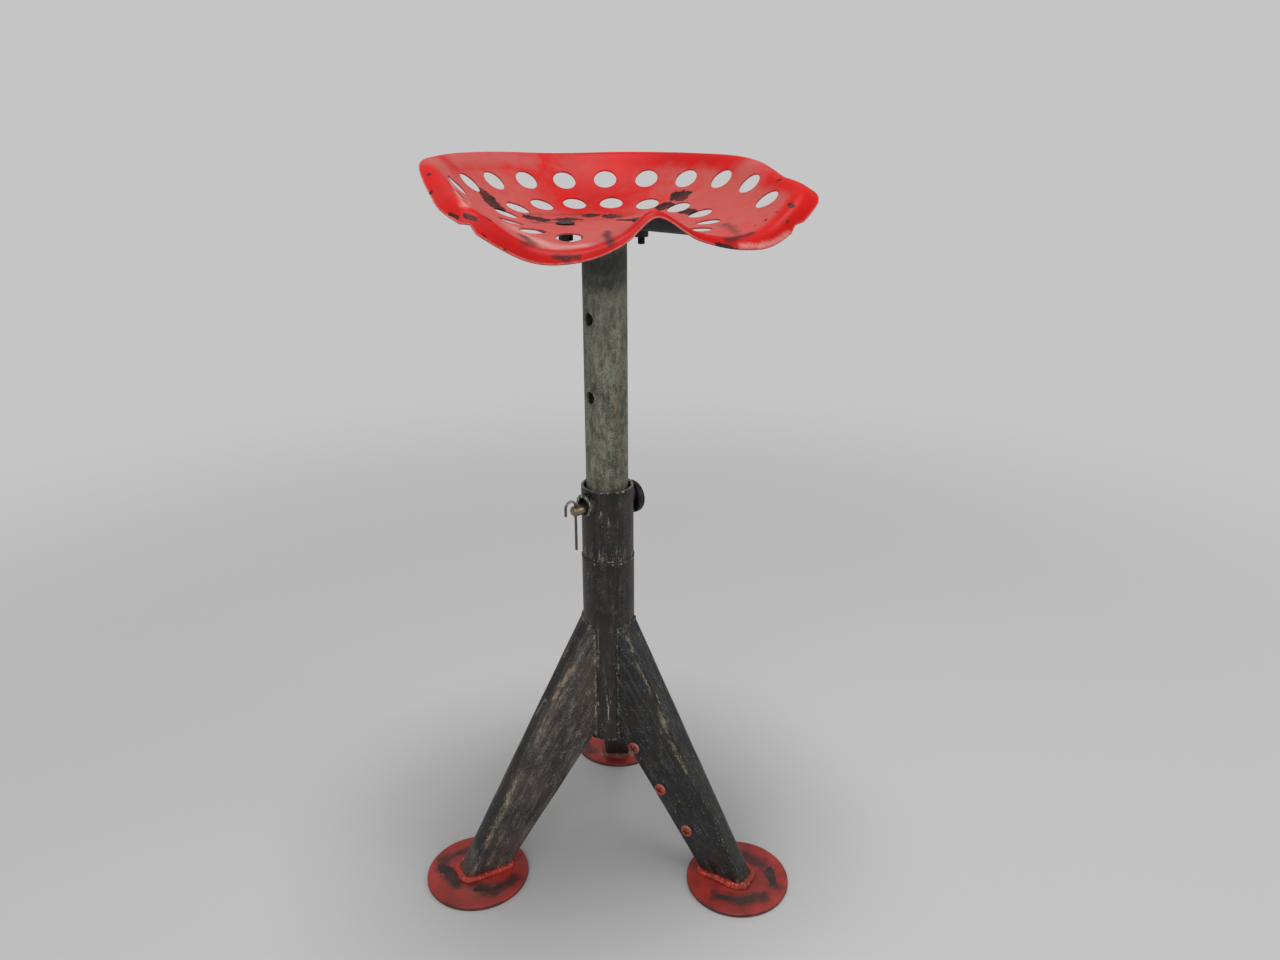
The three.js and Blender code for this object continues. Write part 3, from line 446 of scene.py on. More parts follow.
@dataclass(frozen=True)
class Enamel:
    """Brushed or sprayed enamel that is rubbed dull, chipped to dark steel and scuffed pale, with
    painted sheen, painted highlights and painted shade in its colour.
    """

    name: str
    fresh: str
    deep: str
    faded_and_sheen: str
    bare: str
    pale: str
    gloss: float
    rubbed: float
    nicks: float = 0.0
    rim_wear: float = 0.3
    dirt: float = 0.0
    specular: float = 0.35
    coat: float = 0.1

    def build(self) -> bpy.types.Material:
        """The material."""
        s = Shader(self.name)
        cloud = s.grain(70, 4)
        mottle = s.grain(16, 6, 0.62, offset=(3, 1, 2))
        blotch = s.grain(9, 7, 0.66, offset=(1, 5, 2))
        fine = s.grain(1.6, 3, 0.6)
        scratch = s.grain(24, 6, 0.72, stretch=(1, 7, 1), offset=(7, 0, 3))
        colour = s.blend((cloud + mottle * 0.4).ramp(0.5, 0.95), srgb(self.fresh), srgb(self.deep))
        # Rubbed paint and painted sheen, in the faded colour.
        rub = (s.wear(Mark.RUB) * 1.25 + (mottle - 0.5) + (cloud - 0.5) * 0.7).ramp(0.15, 1.05)
        colour = s.blend(rub * 0.85, colour, srgb(self.faded_and_sheen))
        # Pale scuffs and painted highlights.
        scuff_and_highlight = (s.wear(Mark.PALE) * 1.25 + (scratch - 0.5) * 0.5 + (fine - 0.5) * 0.45
                + (mottle - 0.5) * 0.5).ramp(0.3, 1.3)
        colour = s.blend(scuff_and_highlight * 0.7, colour, srgb(self.pale))
        # Dirt and painted shade, in the bare colour.
        smoke_and_shade = s.wear(Mark.SMUDGE) * 1.15 + (mottle - 0.5) * 1.1 + (blotch - 0.5) * 0.8
        soil = (cloud * 0.5 + mottle * 0.7).ramp(0.56, 0.9) * self.dirt
        colour = s.blend((smoke_and_shade.ramp(0.25, 1.0) * 0.8).either(soil), colour, srgb(self.bare))
        chips = (s.wear(Mark.BARE) * 1.1 + (blotch - 0.5) * 1.3).ramp(0.38, 0.48)
        rim_chips = (s.wear(Mark.EDGE) * self.rim_wear + blotch * 1.1).ramp(0.93, 0.98)
        nicks = (s.grain(4.5, 3, 0.5, offset=(9, 2, 4)) + (cloud - 0.5) * 0.25).ramp(
            0.83 - self.nicks, 0.85 - self.nicks)
        lost = chips.either(rim_chips).either(nicks)
        film = s.blend((mottle + fine * 0.4).ramp(0.6, 0.85) * 0.2, srgb(self.bare),
                       srgb(self.faded_and_sheen))
        colour = s.blend(lost * 0.96, colour, film)
        rough = rub * (self.rubbed - self.gloss) + self.gloss
        rough = rough + (mottle - 0.5) * 0.12 + scuff_and_highlight * 0.15 + lost * (0.6 - self.gloss)
        height = (1 - lost) * 0.6 + fine * 0.07 + cloud * 0.2 + mottle * 0.12 - scuff_and_highlight * 0.06
        return s.finish(colour, rough, height=height, depth=0.35, strength=0.5,
                        coat=(1 - lost) * (1 - rub) * self.coat, coat_roughness=0.12,
                        specular=self.specular)


@dataclass(frozen=True)
class ScuffedSteel:
    """Dark lacquered steel, browned and greyed in blots, scratched bright and worn on ridges, with
    painted shade and painted highlights where marked.
    """

    name: str
    dark: str
    brown: str
    grey: str
    trace: str
    rust: str
    scratches: float = 1.0
    flecks: float = 0.55
    gloss: float = 0.36
    offset: float = 0.0
    lean: tuple[float, float] = (0.0, 0.0)
    soot_and_shade: str = "141414"
    polished: str = "8d897b"
    scratch: str = "a9a79c"

    def build(self) -> bpy.types.Material:
        """The material."""
        s = Shader(self.name, self.lean)
        o = self.offset
        cloud = s.grain(48, 5, 0.58, offset=(2 + o, 6, 1))
        blots = s.grain(9, 8, 0.7, stretch=(1, 1, 0.5), offset=(5, 1 + o, 8))
        speck = s.grain(1.9, 4, 0.65, offset=(1, 3, 3))
        drawn = s.grain(5.5, 6, 0.72, stretch=(1, 1, 0.1), offset=(4, 4, o))
        scrape = s.grain(3.2, 3, 0.62, stretch=(1, 1, 0.14), offset=(9, 2, 4 + o))
        colour = s.blend(cloud.ramp(0.42, 0.58), srgb(self.dark), srgb(self.brown))
        film = (blots * 0.4 + drawn * 0.35 + speck * 0.35).ramp(0.5, 0.66) * 0.8
        colour = s.blend(film, colour, srgb(self.grey))
        # Dirt and painted shade.
        soot_and_shade = (s.wear(Mark.SMUDGE) * 1.1 + (blots - 0.5) * 0.9).ramp(0.25, 0.95)
        colour = s.blend(soot_and_shade * 0.85, colour, srgb(self.soot_and_shade))
        broken = (drawn - 0.5) * 2.1 + (blots - 0.5) * 1.7 + (speck - 0.5) * 1.2
        ridge = s.wear(Mark.RIDGE) * 0.36 + s.wear(Mark.PALE) * 0.55 + broken
        traces = ridge.ramp(0.4, 0.78) * 0.75
        hue = s.grain(15, 4, 0.66, offset=(8, 8 + o, 1)).ramp(0.44, 0.6)
        worn = s.blend(hue, srgb(self.trace), srgb(self.rust))
        colour = s.blend(traces, colour, worn)
        near = s.wear(Mark.EDGE) * 0.2 + s.wear(Mark.RIDGE) * 0.04 + s.wear(Mark.PALE) * 0.05
        line = (s.wear(Mark.EDGE) + (drawn - 0.5) * 1.2).ramp(0.62, 0.95) * 0.55
        colour = s.blend(line, colour, srgb(self.polished))
        flecks = (speck * 0.65 + blots * 0.45).ramp(0.645, 0.7) * self.flecks
        bright = (scrape * 0.8 + speck * 0.3 + near).ramp(0.7, 0.79).either(flecks)
        colour = s.blend(bright * self.scratches, colour, srgb(self.scratch))
        rough = self.gloss + blots * 0.3 + traces * 0.15 - bright * 0.12
        height = blots * 0.45 + speck * 0.25 + drawn * 0.2 - traces * 0.25
        return s.finish(colour, rough, metallic=bright * 0.5 + 0.15, height=height, depth=0.45,
                        strength=0.5)


@dataclass(frozen=True)
class Galvanised:
    """Old galvanised pipe: greenish grey, spangled, with rust that has crept over it and painted
    shade where marked dark.
    """

    name: str
    base: str
    light: str
    dark: str
    rust: str
    soot_and_shade: str = "2b2a27"
    scratch: str = "b3b19f"

    def build(self) -> bpy.types.Material:
        """The material."""
        s = Shader(self.name)
        cloud = s.grain(60, 4, 0.55, offset=(4, 2, 2))
        spangle = s.grain(5, 6, 0.7, stretch=(1, 1, 0.5), offset=(2, 2, 7))
        speck = s.grain(1.5, 4, 0.66)
        runs = s.grain(9, 7, 0.72, stretch=(1, 1, 0.12), offset=(6, 2, 5))
        scrape = s.grain(2.6, 3, 0.6, stretch=(1, 1, 0.2), offset=(1, 8, 5))
        colour = s.blend((cloud * 0.5 + spangle * 0.5).ramp(0.4, 0.6), srgb(self.dark),
                         srgb(self.base))
        bloom = (spangle * 0.35 + speck * 0.4 + runs * 0.35).ramp(0.5, 0.66) * 0.75
        colour = s.blend(bloom, colour, srgb(self.light))
        # Dirt and painted shade, such as the seat's shadow on the post's top.
        soot_and_shade = (s.wear(Mark.SMUDGE) * 0.95 + (runs - 0.5) * 1.4).ramp(0.2, 0.95)
        colour = s.blend(soot_and_shade * 0.85, colour, srgb(self.soot_and_shade))
        creep = (s.wear(Mark.RIDGE) * 0.7 + (runs - 0.5) * 1.4 + (spangle - 0.5) * 1.2
                 + (speck - 0.5) * 0.8).ramp(0.4, 0.9)
        colour = s.blend(creep * 0.75, colour, srgb(self.rust))
        bright = (scrape * 0.8 + speck * 0.3 + s.wear(Mark.EDGE) * 0.14).ramp(0.77, 0.88)
        colour = s.blend(bright * 0.6, colour, srgb(self.scratch))
        rough = 0.42 + spangle * 0.25 + creep * 0.2
        height = spangle * 0.4 + speck * 0.4 + creep * 0.3
        return s.finish(colour, rough, metallic=(1 - creep) * 0.25, height=height, depth=0.3,
                        strength=0.45)


@dataclass(frozen=True)
class PlainMetal:
    """A metal with a little tarnish: the pin, the clip, the weld metal and the black fasteners."""

    name: str
    base: str
    tarnish: str
    bright: str
    metallic: float
    roughness: float
    tarnished: float = 0.5
    relief: float = 0.2

    def build(self) -> bpy.types.Material:
        """The material."""
        s = Shader(self.name)
        blots = s.grain(9, 6, 0.66, offset=(3, 3, 1))
        speck = s.grain(1.5, 4, 0.6)
        colour = s.blend((blots * 0.8 + speck * 0.2).ramp(0.62 - 0.3 * self.tarnished, 0.7),
                         srgb(self.base), srgb(self.tarnish))
        shine = (speck * 0.6 + s.wear(Mark.EDGE) * 0.5 + (blots - 0.5) * 0.5).ramp(0.5, 0.8)
        colour = s.blend(shine * 0.6, colour, srgb(self.bright))
        rough = self.roughness + (blots - 0.5) * 0.3 - shine * 0.1
        height = blots * 0.5 + speck * 0.5
        return s.finish(colour, rough, metallic=self.metallic, height=height, depth=self.relief,
                        strength=0.4)


# Its faded colour also paints sheen in the bowl, and its pale colour paints highlights.
SEAT_RED = Enamel("seat enamel", fresh="c41411", deep="b01312", faded_and_sheen="b35a55", bare="1b1818",
                  pale="dcbcb4", gloss=0.45, rubbed=0.55, specular=0.1, coat=0.0)
# Near-black: the underside's dark paint, darkened further as painted shade under the pan.
PAN_BELOW = ScuffedSteel("seat underside", dark="0e0d0d", brown="151212", grey="211f1e",
                         trace="4a1d1a", rust="3a1715", scratches=0.12, gloss=0.5)
FOOT_RED = Enamel("foot enamel", fresh="b13a33", deep="8c2c26", faded_and_sheen="8f4d45", bare="2f2a28",
                  pale="c48a7c", gloss=0.42, rubbed=0.58, nicks=0.02, rim_wear=0.1, dirt=0.45)
BEAD_RED = Enamel("foot bead enamel", fresh="b8331f", deep="8f241b", faded_and_sheen="9c3d2f", bare="3a2b27",
                  pale="eec5b2", gloss=0.2, rubbed=0.34, nicks=0.04, dirt=0.4, specular=0.5,
                  coat=0.15)
SCREW_ORANGE = Enamel("screw enamel", fresh="bb4a2e", deep="85301c", faded_and_sheen="b0634c", bare="43231b",
                      pale="f0cbb4", gloss=0.28, rubbed=0.4, nicks=0.03, dirt=0.6, specular=0.6)
TUBE_STEEL = ScuffedSteel("tube steel", dark="161515", brown="2b2120", grey="43403c",
                          trace="8f8876", rust="62442f", flecks=0.22, gloss=0.3)
LEFT_LEG_STEEL = ScuffedSteel("left leg steel", dark="2f2c2a", brown="4b413d", grey="776e67",
                              trace="a59b82", rust="86644f", gloss=0.4, lean=(-32.5, -151.8))
RIGHT_LEG_STEEL = ScuffedSteel("right leg steel", dark="181a1b", brown="24221f", grey="4c4f4e",
                               trace="918b71", rust="6c4d3c", gloss=0.28, offset=3.0,
                               lean=(-32.5, -31.8))
# Near-black: painted shade, as the rear leg lies in the shade under the tube.
REAR_LEG_SHADED_STEEL = ScuffedSteel("rear leg steel", dark="121212", brown="191716", grey="2a2928",
                              trace="5e584b", rust="4a382c", gloss=0.36, offset=5.0,
                              lean=(-32.5, 88.2))
POST_ZINC = Galvanised("post zinc", base="6f7062", light="a3a38f", dark="4d4d43", rust="70553a")
WELD_STEEL = PlainMetal("weld metal", base="3b3735", tarnish="2b2826", bright="8f8a80",
                        metallic=0.5, roughness=0.5)
REAR_BEAD = PlainMetal("rear bead", base="6e4238", tarnish="8a6f58", bright="c2b094",
                       metallic=0.0, roughness=0.6, relief=0.4)
BLACK_STEEL = PlainMetal("black oxide", base="161617", tarnish="231e1c", bright="4e4c49",
                         metallic=0.3, roughness=0.42)
BOLT_STEEL = PlainMetal("bolt heads", base="1c1a1a", tarnish="4c2421", bright="55504c",
                        metallic=0.1, roughness=0.6, relief=0.4)
CLIP_STEEL = PlainMetal("clip wire", base="5f5d58", tarnish="37342f", bright="c6c1b4",
                        metallic=0.6, roughness=0.4)
PIN_BRASS = PlainMetal("pin brass", base="8f8069", tarnish="5e523f", bright="ead9b6",
                       metallic=0.85, roughness=0.28, tarnished=0.35)


# Meshes


def plain_object(name: str, mesh: bpy.types.Mesh) -> Piece:
    """A new object for a mesh, linked to the scene, at the origin."""
    made = bpy.data.objects.new(name, mesh)
    bpy.context.scene.collection.objects.link(made)
    return made


def settle(mesh: bpy.types.Mesh, angle: float = 40.0) -> None:
    """Merges doubles, turns faces outwards and shades smooth up to an angle in degrees."""
    bm = bmesh.new()
    bm.from_mesh(mesh)
    bmesh.ops.remove_doubles(bm, verts=bm.verts, dist=SAME_PLACE * MM)
    bmesh.ops.recalc_face_normals(bm, faces=bm.faces)
    bm.to_mesh(mesh)
    bm.free()
    mesh.shade_smooth()
    mesh.set_sharp_from_angle(angle=math.radians(angle))


def skin(name: str, rings: Sequence[Points], loop: bool = False) -> Piece:
    """Joins rings of equally many points into a closed skin.

    Args:
        name: The object's name.
        rings: The rings, in millimetres; one with a single place throughout closes to a pole.
        loop: Whether the last ring joins the first; otherwise both ends are capped.

    Returns:
        The object.
    """
    count = len(rings[0])
    vertices = [Vector(point) * MM for ring in rings for point in ring]
    faces = []
    bands = len(rings) if loop else len(rings) - 1
    for band in range(bands):
        here, there = band * count, (band + 1) % len(rings) * count
        for side in range(count):
            turn = (side + 1) % count
            faces.append((here + side, here + turn, there + turn, there + side))
    if not loop:
        faces.append(tuple(range(count)))
        faces.append(tuple(reversed(range((len(rings) - 1) * count, len(rings) * count))))
    mesh = bpy.data.meshes.new(name)
    mesh.from_pydata(vertices, [], faces)
    settle(mesh)
    return plain_object(name, mesh)


def filleted(corners: Sequence[tuple[float, float, float]], steps: int = 4) -> list[Vector]:
    """A closed outline with rounded corners.

    Args:
        corners: Each corner's two coordinates and its radius.
        steps: How many facets a round has.

    Returns:
        The outline's points.
    """
    outline: list[Vector] = []
    for index, (x, y, radius) in enumerate(corners):
        here = Vector((x, y))
        if radius <= 0:
            outline.append(here)
            continue
        before = (Vector(corners[index - 1][:2]) - here).normalized()
        after = (Vector(corners[(index + 1) % len(corners)][:2]) - here).normalized()
        half = before.angle(after) / 2
        centre = here + (before + after).normalized() * (radius / math.sin(half))
        start = here + before * (radius / math.tan(half)) - centre
        swing = start.angle_signed(here + after * (radius / math.tan(half)) - centre)
        for step in range(steps + 1):
            outline.append(centre + Matrix.Rotation(-swing * step / steps, 2) @ start)
    return outline


def lathe(profile: Sequence[Vector], place: Matrix, facets: int) -> list[list[Vector]]:
    """A profile of radii and heights at each facet of a full turn round a place's axis."""
    return [[place @ Vector((r * math.cos(a), r * math.sin(a), h)) for r, h in profile]
            for a in circle(facets)]


def turned(name: str, corners: Sequence[tuple[float, float, float]], place: Matrix,
           facets: int = 96, steps: int = 4) -> Piece:
    """A turned piece.

    Args:
        name: The object's name.
        corners: Its closed profile: radius, height and the corner's rounding.
        place: Where its axis stands, in millimetres.
        facets: Facets in a full turn.
        steps: Facets in a rounded corner.

    Returns:
        The object.
    """
    return skin(name, lathe(filleted(corners, steps), place, facets), loop=True)


def carved(piece: Piece, tools: Sequence[Piece],
           operation: str = "DIFFERENCE") -> Piece:
    """Cuts a piece with tools, which are used up.

    Args:
        piece: The piece.
        tools: The tools.
        operation: The Boolean operation.

    Returns:
        The same piece.
    """
    for tool in tools:
        cutter = piece.modifiers.new("cut", "BOOLEAN")
        cutter.operation = operation
        cutter.solver = "EXACT"
        cutter.object = tool
    bake(piece)
    for tool in tools:
        bpy.data.objects.remove(tool)
    settle(piece.data)
    return piece


def bake(piece: Piece) -> None:
    """Puts what a piece's modifiers make into its mesh and takes the modifiers off."""
    graph = bpy.context.evaluated_depsgraph_get()
    mesh = bpy.data.meshes.new_from_object(piece.evaluated_get(graph), depsgraph=graph)
    piece.modifiers.clear()
    old, piece.data = piece.data, mesh
    bpy.data.meshes.remove(old)
    mesh.name = piece.name


@dataclass
class Hole:
    """A round hole in a blank: its rim and a second ring round that, in the blank's own plane."""

    rim: np.ndarray
    collar: np.ndarray
    centre: np.ndarray


@dataclass
class Blank:
    """A sheet-metal blank with round holes that is formed to shape and given its thickness.

    The sheet is triangulated round its holes in the flat, so every hole keeps an even rim with a
    rounded edge, which a cut through the finished sheet doesn't give.
    """

    name: str
    thickness: float
    edge_round: float
    form: Callable[[np.ndarray], np.ndarray]
    normal: Callable[[np.ndarray], np.ndarray]
    wraps: bool = False
    edge_steps: int = 4
    vertices: list = field(default_factory=list)
    faces: list = field(default_factory=list)
    lower_faces: set = field(default_factory=set)

    def build(self, borders: Sequence[Sequence[np.ndarray]], fill: np.ndarray,
              holes: Sequence[Hole]) -> Piece:
        """Forms the sheet.

        Args:
            borders: For each edge of the sheet, its rings from the edge inwards.
            fill: Places in between.
            holes: The holes.

        Returns:
            The object, whose lower side has the material index 1.
        """
        groups = [ring for border in borders for ring in border]
        groups += [ring for hole in holes for ring in (hole.rim, hole.collar)]
        starts = np.cumsum([0] + [len(ring) for ring in groups])
        flat = np.concatenate([*groups, fill])
        edges = []
        closed = len(borders) == 1 or not self.wraps
        bordering = sum(len(border) for border in borders)
        for number, (start, ring) in enumerate(zip(starts, groups)):
            last = len(ring) if closed or number >= bordering else len(ring) - 1
            edges += [(int(start + i), int(start + (i + 1) % len(ring))) for i in range(last)]
        result = delaunay_2d_cdt([Vector(p) for p in flat], edges, [], 0, 1e-6)
        if len(result[0]) != len(flat):
            raise RuntimeError(f"{self.name}: the blank's rings cross")
        owner = np.full(len(flat), -1)
        rims = [self.ring_range(groups, starts, ring)
                for ring in (*(border[0] for border in borders), *(hole.rim for hole in holes))]
        for number, (start, end) in enumerate(rims):
            if number >= len(borders) or not self.wraps:
                owner[start:end] = number
        triangles = [t for t in result[2] if owner[t[0]] < 0 or len({owner[i] for i in t}) > 1]
        upper = self.form(flat)
        normals = self.normal(flat)
        count = len(flat)
        self.vertices = [*upper, *(upper - normals * self.thickness)]
        for a, b, c in triangles:
            self.faces.append((a, b, c))
            self.lower_faces.add(len(self.faces))
            self.faces.append((a + count, c + count, b + count))
        for number, (start, end) in enumerate(rims):
            inside = number >= len(borders)
            if inside:
                hint = self.form(holes[number - len(borders)].centre[None])[0] - upper[start:end]
            else:
                hint = upper[start:end] - self.form(borders[number][1])
            self.close_edge(start, end, upper, normals, hint, self.wraps and not inside)
        mesh = bpy.data.meshes.new(self.name)
        mesh.from_pydata([Vector(v) * MM for v in self.vertices], [], self.faces)
        flags = np.zeros(len(self.faces), dtype=np.int32)
        flags[list(self.lower_faces)] = 1
        mesh.polygons.foreach_set("material_index", flags)
        settle(mesh)
        return plain_object(self.name, mesh)

    @staticmethod
    def ring_range(groups: Sequence[np.ndarray], starts: np.ndarray,
                   ring: np.ndarray) -> tuple[int, int]:
        """The first vertex of a ring and the one after its last."""
        number = next(i for i, group in enumerate(groups) if group is ring)
        return int(starts[number]), int(starts[number + 1])

    def close_edge(self, start: int, end: int, upper: np.ndarray, normals: np.ndarray,
                   hint: np.ndarray, wraps: bool) -> None:
        """Joins the upper and lower side along one ring by a rounded edge.

        Args:
            start: The ring's first vertex.
            end: The vertex after its last.
            upper: All places on the upper side.
            normals: The upper side's normals.
            hint: For each vertex, roughly the way out of the sheet.
            wraps: Whether the ring's last vertex is its first one again.
        """
        ring, normal = upper[start:end], normals[start:end]
        size = len(ring)
        if wraps:
            before = np.concatenate([ring[-2:-1], ring[:-1]])
            after = np.concatenate([ring[1:], ring[1:2]])
        else:
            before, after = np.roll(ring, 1, axis=0), np.roll(ring, -1, axis=0)
        out = np.cross(after - before, normal)
        out /= np.linalg.norm(out, axis=1)[:, None]
        out *= np.sign((out * hint).sum(axis=1))[:, None]
        rows = [list(range(start, end))]
        angles = [math.pi / 2 * step / self.edge_steps for step in range(1, self.edge_steps + 1)]
        offsets = [(math.sin(a), 1 - math.cos(a)) for a in angles]
        profile = [(o * self.edge_round, d * self.edge_round) for o, d in offsets]
        profile += [(o, self.thickness - d) for o, d in reversed(profile)]
        for across, down in profile:
            first = len(self.vertices)
            self.vertices += list(ring + out * across - normal * down)
            rows.append(list(range(first, first + size)))
        count = len(upper)
        rows.append([index + count for index in range(start, end)])
        last = size - 1 if wraps else size
        for row, below in zip(rows, rows[1:]):
            for i in range(last):
                j = (i + 1) % size
                self.faces.append((row[i], row[j], below[j], below[i]))


# Geometry Nodes


class NodeTree(Nodes):
    """A Geometry Nodes tree under construction, with named inputs."""

    def __init__(self, name: str, inputs: dict[str, str]) -> None:
        """Starts a tree.

        Args:
            name: The tree's name.
            inputs: Each input's name and socket type, besides the geometry.
        """
        super().__init__(bpy.data.node_groups.new(name, "GeometryNodeTree"))
        face = self.tree.interface
        face.new_socket("Geometry", in_out="INPUT", socket_type="NodeSocketGeometry")
        face.new_socket("Geometry", in_out="OUTPUT", socket_type="NodeSocketGeometry")
        self.identifiers = {
            key: face.new_socket(key, in_out="INPUT", socket_type=kind).identifier
            for key, kind in inputs.items()
        }
        self.start = self.node("NodeGroupInput")
        self.end = self.node("NodeGroupOutput")

    def given(self, name: str) -> Socket:
        """One of the tree's inputs."""
        return self.start.outputs[name]

    def step(self, kind: str, settings: dict[str, Any] | None = None,
             **inputs: Any) -> Socket:
        """The first output of a new node, whose inputs' names have _ for a space."""
        named = {key.replace("_", " "): value for key, value in inputs.items()}
        return self.node(kind, settings, named).outputs[0]

    def math(self, operation: str, *ends: Any) -> Socket:
        """A Math node's value."""
        made = self.node("ShaderNodeMath", {"operation": operation}, dict(enumerate(ends)))
        return made.outputs[0]

    def close(self, geometry: Socket) -> None:
        """Ends the tree in Realize Instances and Set Material."""
        real = self.step("GeometryNodeRealizeInstances", Geometry=geometry)
        dressed = self.step("GeometryNodeSetMaterial", Geometry=real,
                            Material=self.given("Material"))
        self.plug(self.end.inputs[0], dressed)

    def run(self, piece: Piece, values: dict[str, Any]) -> Piece:
        """Runs the tree on a piece and keeps the result as its plain mesh.

        Args:
            piece: The piece whose mesh goes in.
            values: A value for each named input.

        Returns:
            The same piece.
        """
        modifier = piece.modifiers.new(self.tree.name, "NODES")
        modifier.node_group = self.tree
        for key, value in values.items():
            modifier[self.identifiers[key]] = value
        bake(piece)
        return piece


def weld_tree() -> NodeTree:
    """A tree that lays a rippled bead of weld, or a plain round wire, along a line of edges."""
    ripple_power = 1.6  # over 1, so that each ripple falls off late
    noise_scale, noise_detail = 130.0, 2.0
    inputs = dict.fromkeys(("Radius", "Pitch", "Ripple", "Wobble", "Step", "Seed"),
                           "NodeSocketFloat")
    t = NodeTree("laid bead", {**inputs, "Facets": "NodeSocketInt",
                               "Material": "NodeSocketMaterial"})
    line = t.step("GeometryNodeMeshToCurve", Mesh=t.start.outputs["Geometry"])
    even = t.step("GeometryNodeResampleCurve", {"mode": "LENGTH"}, Curve=line,
                  Length=t.given("Step"))
    run = t.node("GeometryNodeSplineParameter").outputs["Length"]
    phase = t.math("FRACT", t.math("DIVIDE", run, t.given("Pitch")))
    fall = t.math("MULTIPLY", t.math("POWER", phase, ripple_power), t.given("Ripple"))
    uneven = t.step("ShaderNodeTexNoise", {"noise_dimensions": "4D"}, W=t.given("Seed"),
                    Scale=noise_scale, Detail=noise_detail)
    swing = t.math("MULTIPLY", t.math("SUBTRACT", uneven, 0.5), t.given("Wobble"))
    share = t.math("ADD", t.math("SUBTRACT", 1.0, fall), swing)
    sized = t.step("GeometryNodeSetCurveRadius", Curve=even,
                   Radius=t.math("MULTIPLY", share, t.given("Radius")))
    ring = t.step("GeometryNodeCurvePrimitiveCircle", {"mode": "RADIUS"},
                  Resolution=t.given("Facets"), Radius=1.0)
    swept = t.step("GeometryNodeCurveToMesh", Curve=sized, Profile_Curve=ring,
                   Scale=t.step("GeometryNodeInputRadius"), Fill_Caps=True)
    t.close(t.step("GeometryNodeSetShadeSmooth", Geometry=swept))
    return t


def fastener_tree() -> NodeTree:
    """A tree that sets a fastener on each point, along the point's axis and turned about it."""
    t = NodeTree("set fasteners", {"Fastener": "NodeSocketObject",
                                   "Material": "NodeSocketMaterial"})
    axis, turn = (t.step("GeometryNodeInputNamedAttribute", {"data_type": kind}, Name=name)
                  for kind, name in (("FLOAT_VECTOR", "axis"), ("FLOAT", "turn")))
    aligned = t.step("FunctionNodeAlignRotationToVector", {"axis": "Z"}, Vector=axis)
    spin = t.step("FunctionNodeAxisAngleToRotation", Axis=(0.0, 0.0, 1.0), Angle=turn)
    whole = t.step("FunctionNodeRotateRotation", {"rotation_space": "LOCAL"}, Rotation=aligned,
                   Rotate_By=spin)
    source = t.node("GeometryNodeObjectInfo", inputs={"Object": t.given("Fastener")})
    t.close(t.step("GeometryNodeInstanceOnPoints", Points=t.start.outputs["Geometry"],
                   Instance=source.outputs["Geometry"], Rotation=whole))
    return t


@dataclass
class Shop:
    """What all the pieces share: the finished materials, the node trees and the camera."""

    viewpoint: Viewpoint
    materials: dict[str, bpy.types.Material] = field(default_factory=dict)

    def __post_init__(self) -> None:
        """Builds the two node trees."""
        self.bead = weld_tree()
        self.fasteners = fastener_tree()

    def material(self, finish: Any) -> bpy.types.Material:
        """The material of a finish, built once."""
        if finish.name not in self.materials:
            self.materials[finish.name] = finish.build()
        return self.materials[finish.name]

    def dress(self, piece: Piece, body: str, slot: str, nodes: Sequence[str],
              *finishes: Any) -> None:
        """Gives a piece its finishes and its body, and hides the nodes that it stands for.

        Args:
            piece: The piece.
            body: The CAD body that carries it.
            slot: The record's material slot; not used.
            nodes: The CAD nodes that it replaces.
            finishes: Its finishes, in the order of its material indices.
        """
        if not piece.data.materials:
            for finish in finishes:
                piece.data.materials.append(self.material(finish))
        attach(piece, body)
        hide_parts(*nodes)
        LOG.info("%s: %d faces on %s", piece.name, len(piece.data.polygons), body)

    def weld(self, name: str, path: Points, closed: bool, radius: float, finish: Any,
             pitch: float = 2.6, ripple: float = 0.16, wobble: float = 0.3, seed: float = 0.0,
             step: float = 0.5, facets: int = 14) -> Piece:
        """A bead along a path.

        Args:
            name: The piece's name.
            path: The bead's centre line, in millimetres.
            closed: Whether the path closes on itself.
            radius: The bead's radius.
            finish: Its finish.
            pitch: From one ripple to the next.
            ripple: How much of the radius a ripple falls by.
            wobble: How uneven the bead is.
            seed: Which unevenness it has.
            step: From one ring of the mesh to the next.
            facets: Facets round the bead.

        Returns:
            The piece, with a plain mesh.
        """
        mesh = bpy.data.meshes.new(name)
        count = len(path)
        edges = [(i, (i + 1) % count) for i in range(count if closed else count - 1)]
        mesh.from_pydata([Vector(p) * MM for p in path], edges, [])
        values = {"Radius": radius * MM, "Pitch": pitch * MM, "Ripple": ripple, "Wobble": wobble,
                  "Step": step * MM, "Seed": seed, "Facets": facets,
                  "Material": self.material(finish)}
        piece = self.bead.run(plain_object(name, mesh), values)
        settle(piece.data, 60)
        return piece

    def fasten(self, name: str, fastener: Piece,
               places: Sequence[tuple[Vector, Vector, float]], finish: Any) -> Piece:
        """Sets a fastener at each place; the fastener itself is used up.

        Args:
            name: The piece's name.
            fastener: One fastener about the origin, with its axis along Z.
            places: Each one's place in millimetres, its axis and its turn in degrees.
            finish: Its finish.

        Returns:
            The piece, with a plain mesh.
        """
        mesh = bpy.data.meshes.new(name)
        mesh.from_pydata([place * MM for place, _, _ in places], [], [])
        axis = mesh.attributes.new("axis", "FLOAT_VECTOR", "POINT")
        axis.data.foreach_set("vector", [c for _, way, _ in places for c in way])
        turn = mesh.attributes.new("turn", "FLOAT", "POINT")
        turn.data.foreach_set("value", [math.radians(angle) for _, _, angle in places])
        values = {"Fastener": fastener, "Material": self.material(finish)}
        piece = self.fasteners.run(plain_object(name, mesh), values)
        bpy.data.objects.remove(fastener)
        return piece


